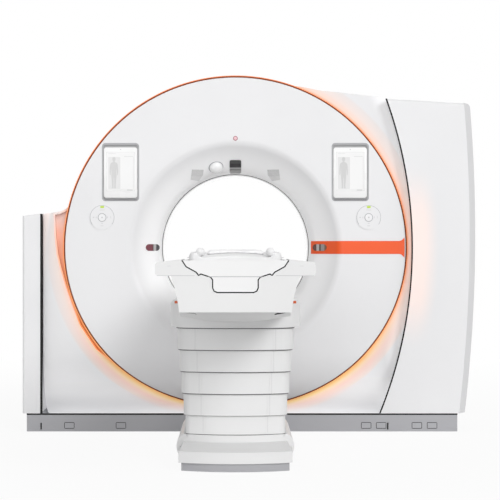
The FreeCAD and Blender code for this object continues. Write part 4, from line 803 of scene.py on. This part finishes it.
def make_panels():
    """Outline of painted shade along the top and sides of each control panel's raised edge, and the button ring,
    lamp and faint symbols of both control panels, and the status light's lens.
    """
    top = FACE_Y - 0.004
    symbols = ((0.030, 0.001, 0.003, 0.010), (0.047, 0.002, 0.002, 0.014), (-0.032, 0.0, 0.003, 0.010),
               (-0.047, 0.001, 0.009, 0.004), (0.0, -0.032, 0.009, 0.003), (0.0, -0.046, 0.016, 0.0025),
               (0.0, 0.041, 0.028, 0.002))
    for side, label in SIDES:
        cx, cz = side * PANEL_X, PANEL_Z
        green = rounded(cx + 0.0005, cz + 0.0575, 0.021, 0.0115, 0.0035, 4)
        marks = [plate(rounded(cx + dx, cz + dz, w, h, min(w, h) * 0.4, 2), top - 0.0005, top + 0.0005)
                 for dx, dz, w, h in symbols]
        for name, solids, finish in (
                # painted shade along the top and sides of the panel's raised edge
                ("panel_edge_shade_", [arc_band(cx, cz, 0.0650, 0.0668, -35, 215, top - 0.0006, top + 0.001)], mark_grey),
                ("button_ring_", [arc_band(cx, cz, 0.0202, 0.0232, 0, 359.9, top - 0.0010, top + 0.001, 48)],
                 mark_grey),
                ("panel_lamp_", [plate(green, top - 0.0012, top + 0.0005, 0.0006)], lamp_green),
                ("panel_marks_", marks, mark_faint)):
            joined_solids(name + label, solids, finish, "gantry")
        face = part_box("stop_button_" + label)[0][1]
        dot = plate(disc(cx, cz, 0.0045, 20), face - 0.0004, face + 0.0004)
        joined_solids("button_dot_" + label, [dot], mark_faint, "button_" + label)
    lens = [(0.0092, 0.0), (0.0090, 0.0006), (0.0070, 0.0014), (0.0035, 0.0018), (0.0004, 0.0019)]
    turned("status_lens", lens, 32, status_pink, "gantry", "status_red", at=(0, FACE_Y - 0.0014, ISO + 0.600),
           along=(0, -1, 0))


# ---- table ----
def dish_offset(gap):
    """End view of the tabletop's lower side, moved outwards: right half from the top down."""
    half = [(0.207, 0.966), (0.207, 0.950), (0.192, 0.927), (0.152, 0.905), (0.144, 0.894), (0.136, 0.899),
            (0.096, 0.886), (0.087, 0.874), (0.087, 0.842), (0.082, 0.831), (0.071, 0.826), (0.0, 0.826)]
    moved = []
    for i, point in enumerate(half[:-1]):
        p = Vector(point)
        before = (p - Vector(half[i - 1])).normalized() if i else Vector((0, -1))
        after = (Vector(half[i + 1]) - p).normalized()
        n1, n2 = Vector((-before.y, before.x)), Vector((-after.y, after.x))
        n = (n1 + n2).normalized()
        moved.append(tuple(p + n * (gap / max(n.dot(n1), 0.6))))
    return moved + [(0.0, half[-1][1] - gap)]


def make_seam_shade():
    """A dark strip of painted shade in the seam round the tabletop, and the line under the carriage, at the foot
    end.
    """
    halves = dish_offset(0.0004), dish_offset(0.0046)
    first = next(k for k, p in enumerate(halves[0]) if p[1] < 0.955)
    lines = [half[first:] + [(-x, z) for x, z in reversed(half[first:-1])] for half in halves]
    strip = between(lines, ((0, -2.9565), (1, -2.9565), (1, -2.9500), (0, -2.9500)))
    joined_solids("seam_shade", [strip], gasket, "table_body")
    joined_solids("carriage_seam", [plate(block(-0.108, 0.108, 0.8845, 0.8868), -2.9584, -2.9570)], mark_grey,
                  "table_top")


def column_loop(inset):
    """Plan of the column, so far inside its top section: bowed front and back, with round corners."""
    hw, corner = COLUMN_HALF_W - inset, COLUMN_CORNER - inset
    y0, y1 = COLUMN_FRONT + inset, COLUMN_BACK - inset
    sag_r = (hw ** 2 + COLUMN_BULGE ** 2) / (2 * COLUMN_BULGE)
    cx = hw - corner
    centre_front = y0 + sag_r
    cy = centre_front - sqrt((sag_r - corner) ** 2 - cx ** 2)
    lean = atan2(cx, centre_front - cy)
    quarter = []
    for k in range(15):
        x = cx * sag_r / (sag_r - corner) * k / 14
        quarter.append((x, y0 + (sag_r - sqrt(sag_r ** 2 - x ** 2))))
    for k in range(1, 11):
        a = lean + (pi / 2 - lean) * k / 10
        quarter.append((cx + corner * sin(a), cy - corner * cos(a)))
    right = quarter + [(x, y0 + y1 - y) for x, y in reversed(quarter)]
    return right + [(-x, y) for x, y in reversed(right[1:-1])]


def make_wipers_and_shade():
    """A dark wiper under the edge of each section, partly painted shade under its lip, just clear of the sleeve
    inside it, and two lines on that.
    """
    bodies = ["table_body", "sleeve_2", "sleeve_3", "sleeve_4", "sleeve_5", "floor_base"]
    for k in range(5):
        z, inset = COLUMN_EDGE_Z - k * COLUMN_PITCH, k * COLUMN_STEP
        drop, below = (0.0040, 0.536 - k * COLUMN_PITCH) if k < 4 else (0.0018, 0.156)
        loops = [[(x, y, z + rise) for x, y in column_loop(inset + further)] for further, rise in (
            (0.0025, 0.0002), (0.0025, -drop * 0.6), (0.0040, -drop), (0.0084, -drop), (0.0084, 0.0002))]
        loft("wiper_%d" % (k + 1), loops, wiper_grey, bodies[k])
        x = 0.184 - inset
        pair = [laid_on("column_section_%d" % (k + 2),
                        block(side * (x - 0.0007), side * (x + 0.0007), below, z - 0.005), 0.0003)
                for side, _ in SIDES]
        joined_solids("fold_lines_%d" % (k + 2), pair, mark_faint, bodies[k + 1])
    inner, outer, high, low = 0.0458, 0.0447, 0.1472, 0.1446
    loops = [[(x, y, z) for x, y in column_loop(inset)]
             for inset, z in ((inner, high), (outer, high), (outer, low), (inner, low))]
    loft("foot_seam", loops, wiper_grey, "floor_base")


def make_table_trim():
    """Small signal marks on the shoulders, black wedges of painted shade under the end cover, and on the wings a
    line of painted shade along the lower edge and small marks.
    """
    marks, shade_fills, lines = [], [], []
    for side, _ in SIDES:
        marks.append(plate(block(side * 0.2605, side * 0.2760, 0.7480, 0.7600), -1.9760, -1.9680))
        # black wedge of painted shade under the end cover
        wedge = [(side * x, z) for x, z in ((0.215, 0.7232), (0.176, 0.7222), (0.166, 0.7120), (0.170, 0.7195))]
        shade_fills.append(laid_on("column_section_1", wedge if side > 0 else wedge[::-1], 0.0012, 0.004))
        # line of painted shade along the lower edge of the wing
        lines.append(plate(block(side * 0.160, side * 0.3085, 0.8888, 0.8915), TABLE_FOOT_Y - 0.0006,
                           TABLE_FOOT_Y + 0.001))
        lines.append(plate(block(side * 0.254, side * 0.268, 0.9270, 0.9284), TABLE_FOOT_Y - 0.0005,
                           TABLE_FOOT_Y + 0.001))
    joined_solids("shoulder_marks", marks, mark_red, "table_body")
    joined_solids("nose_shade_wedges", shade_fills, gasket, "table_body")
    joined_solids("wing_edge_shade_and_marks", lines, mark_faint, "table_body")


# ---- plinth and gaps ----
def make_gap_shade():
    """Black strips of painted shade in the gaps beside the tilting part, along the top of the plinth under the gap
    above it, and in the plinth's slots.
    """
    loft("gap_shade_left", slab(block(-1.0658, -1.0572, 0.098, 1.1880), -0.4885, -0.4550), gasket, "floor_base",
         closed=False, cap=True)
    outer, inner, front, back = 2.4546, 2.4466, -0.4880, -0.4560
    low, high, steps = -0.902, 0.815, 72
    loops = []
    for k in range(steps + 1):
        z = low + (high - low) * k / steps
        loops.append([(BALL_X + sqrt(r * r - z * z - y * y), y, ISO + z)
                      for r, y in ((outer, front), (inner, front), (inner, back), (outer, back))])
    loft("gap_shade_right", loops, gasket, "floor_base", closed=False, cap=True)
    edge = block(-1.1395, 1.2125, 0.0902, 0.0982)
    joined_solids("plinth_gap_shade", [slab(edge, -0.4905, -0.4885), slab(edge, 0.4885, 0.4905)], gasket, "floor_base")
    shade_fills = [plate(block(x - 0.0035, x + 0.0035, 0.011, 0.047), -0.4893, -0.4850) for x in (-1.061, 0.832)]
    joined_solids("plinth_slot_shade", shade_fills, gasket, "floor_base")


def make_latches():
    """Dark edges of the small latches in the front plinth board."""
    frames = []
    for x in (-0.907, -0.625, 0.714, 0.796, 0.991, 1.074):
        loops = between((rounded(x, 0.0325 - ISO, 0.056, 0.035, 0.006, 3),
                         rounded(x, 0.0325 - ISO, 0.050, 0.029, 0.004, 3)),
                        ((0, -0.4895), (1, -0.4895), (1, -0.4875), (0, -0.4875)))
        frames.append(loops + loops[:1])
    joined_solids("latch_frames", frames, gasket, "floor_base")


# ---- soft pieces ----
DISH_R = (0.199 ** 2 + 0.028 ** 2) / 0.056
CROWN_R = (0.150 ** 2 + 0.010 ** 2) / 0.020
CLOTH_FRAMES = 20


def dish_z(x):
    """Height of the tabletop under the mattress."""
    return 0.916 + DISH_R - sqrt(DISH_R ** 2 - min(abs(x), 0.199) ** 2)


def crown_z(x):
    """Height of the middle of the mattress."""
    return 0.974 - CROWN_R + sqrt(CROWN_R ** 2 - x ** 2)


def within(value, low, high):
    return max(min(value, high), low)


def puffed(obj, voxel, cap, hold):
    """Cloth over an air cushion: remeshed, blown up a little, capped, kept inside hold(point)."""
    remesh = obj.modifiers.new("remesh", "REMESH")
    remesh.mode = "VOXEL"
    remesh.voxel_size = voxel
    applied(obj, 60)
    start = [v.co.copy() for v in obj.data.vertices]
    cloth = obj.modifiers.new("cloth", "CLOTH")
    for key, value in (("quality", 4), ("mass", 0.3), ("tension_stiffness", 12), ("compression_stiffness", 12),
                       ("shear_stiffness", 6), ("bending_stiffness", 0.6), ("use_pressure", True),
                       ("uniform_pressure_force", 4.0)):
        setattr(cloth.settings, key, value)
    cloth.settings.effector_weights.gravity = 0.0
    cloth.point_cache.frame_start = 1
    cloth.point_cache.frame_end = CLOTH_FRAMES
    scene = bpy.context.scene
    for step in range(1, CLOTH_FRAMES + 1):
        scene.frame_set(step)
    graph = bpy.context.evaluated_depsgraph_get()
    moved = [v.co.copy() for v in obj.evaluated_get(graph).data.vertices]
    obj.modifiers.clear()
    scene.frame_set(1)
    for v, a, b in zip(obj.data.vertices, start, moved):
        way = b - a
        if way.length > cap:
            way *= cap / way.length
        v.co = a + way
    for v in obj.data.vertices:
        v.co = hold(v.co)
    sub = obj.modifiers.new("subdivision", "SUBSURF")
    sub.levels = sub.render_levels = 1
    applied(obj, 60)
    for v in obj.data.vertices:
        v.co = hold(v.co)


def soft_form(name, section, y0, y1, ends, margin, count):
    """A closed form along Y of the section's (x, z) points; ends are (distance from the end, shrink) pairs."""
    rows = [(y0 + distance, shrink) for distance, shrink in ends]
    rows += [(y0 + margin + (y1 - y0 - 2 * margin) * k / count, 1.0) for k in range(count + 1)]
    rows += [(y1 - distance, shrink) for distance, shrink in reversed(ends)]
    cz = sum(z for _, z in section) / len(section)
    loops = [[(x * shrink, y, cz + (z - cz) * shrink) for x, z in section] for y, shrink in rows]
    return loft(name, loops, cloth_white, "table_top", closed=False, cap=True)


def tube(name, points, radius, finish, body):
    """A thin round strip along points that run mainly along Y."""
    loops = [[(x + radius * cos(a), y, z + radius * sin(a)) for a in turns(8)] for x, y, z in points]
    loft(name, loops, finish, body, closed=False, cap=True)


def make_mattress():
    """The long pad with its raised rims and crown, and the piping along both rims."""
    w = 0.186
    rim = [(w + 0.004, 0.958), (w + 0.003, 0.972), (w - 0.002, 0.982), (w - 0.012, 0.986), (w - 0.022, 0.983),
           (w - 0.030, 0.974)]
    section = [(x, dish_z(x) + 0.004) for x in (-w + 2 * w * k / 20 for k in range(20))] + [(w, 0.946)] + rim
    section += [(x, crown_z(x) - 0.003) for x in (0.148 - 0.296 * k / 20 for k in range(21))]
    section += [(-x, z) for x, z in reversed(rim)]
    pad = soft_form("mattress_pad", section, -2.916, -0.634, ((0.004, 0.90), (0.010, 0.96), (0.022, 0.99)), 0.04, 70)

    def hold(p):
        x = within(p.x, -0.1965, 0.1965)
        top = crown_z(x) + 0.0012 if abs(x) < 0.142 else 0.9905
        return Vector((x, within(p.y, -2.9195, -0.6305), min(max(p.z, dish_z(x) + 0.0008), top)))

    puffed(pad, 0.010, 0.005, hold)
    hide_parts("mattress")
    for side, label in SIDES:
        for place, (x, z) in enumerate(((0.1905, 0.9600), (0.1610, 0.9730))):
            points = [(side * x, -2.905 + 2.26 * k / 60, z) for k in range(61)]
            tube("mattress_seam_%s_%d" % (label, place + 1), points, 0.0013, piping_grey, "table_top")


def make_rolls():
    """Two small positioning rolls with gathered ends, in the grooves beside the crown."""
    z = crown_z(0.140) + 0.017 + 0.0006
    count = 44
    for side, label in SIDES:
        loops = []
        for k in range(count + 1):
            t = k / count
            y = -2.913 + 0.148 * t
            end = min(t, 1 - t)
            r = max(0.0165 * min(1.0, sqrt(end / 0.06)), 0.003)
            loop = []
            for a in turns(36):
                crease = 0.0005 * noise.noise(Vector((9 * cos(a), 40 * y, 9 * sin(a) + side)))
                fold = 0.0008 * cos(9 * a) * max(0.0, 1 - end / 0.10)
                reach = r + crease + fold
                loop.append((side * 0.140 + reach * cos(a), y, z + reach * sin(a)))
            loops.append(loop)
        roll = loft("positioning_roll_" + label, loops, cloth_white, "table_top", closed=False,
                    cap=True, sharp=60)
        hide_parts("positioning_rolls")


def make_head_cushion():
    """The flat cushion on the head end of the mattress."""
    c = 0.148
    section = [(x, crown_z(x) + 0.0020) for x in (-c + 2 * c * k / 16 for k in range(17))]
    section += [(c + 0.002, 0.9705), (c + 0.001, 0.977), (c - 0.006, 0.983)]
    section += [(x, 0.9865 + 0.0035 * (1 - (x / c) ** 2))
                for x in ((c - 0.014) * (1 - 2 * k / 16) for k in range(17))]
    section += [(-c + 0.006, 0.983), (-c - 0.001, 0.977), (-c - 0.002, 0.9705)]
    pad = soft_form("head_pad", section, -0.988, -0.672, ((0.003, 0.92), (0.008, 0.97)), 0.02, 20)

    def hold(p):
        x = within(p.x, -0.1518, 0.1518)
        low = crown_z(min(abs(x), 0.1499)) + 0.0014
        return Vector((x, within(p.y, -0.9895, -0.6705), min(max(p.z, low), 0.9930)))

    puffed(pad, 0.005, 0.004, hold)
    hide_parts("head_cushion")


make_front_shell()
make_bore()
make_glow_ring()
make_accent_bar()
make_dome()
make_tablets()
make_panels()
make_seam_shade()
make_wipers_and_shade()
make_table_trim()
make_latches()
make_gap_shade()
make_mattress()
make_rolls()
make_head_cushion()
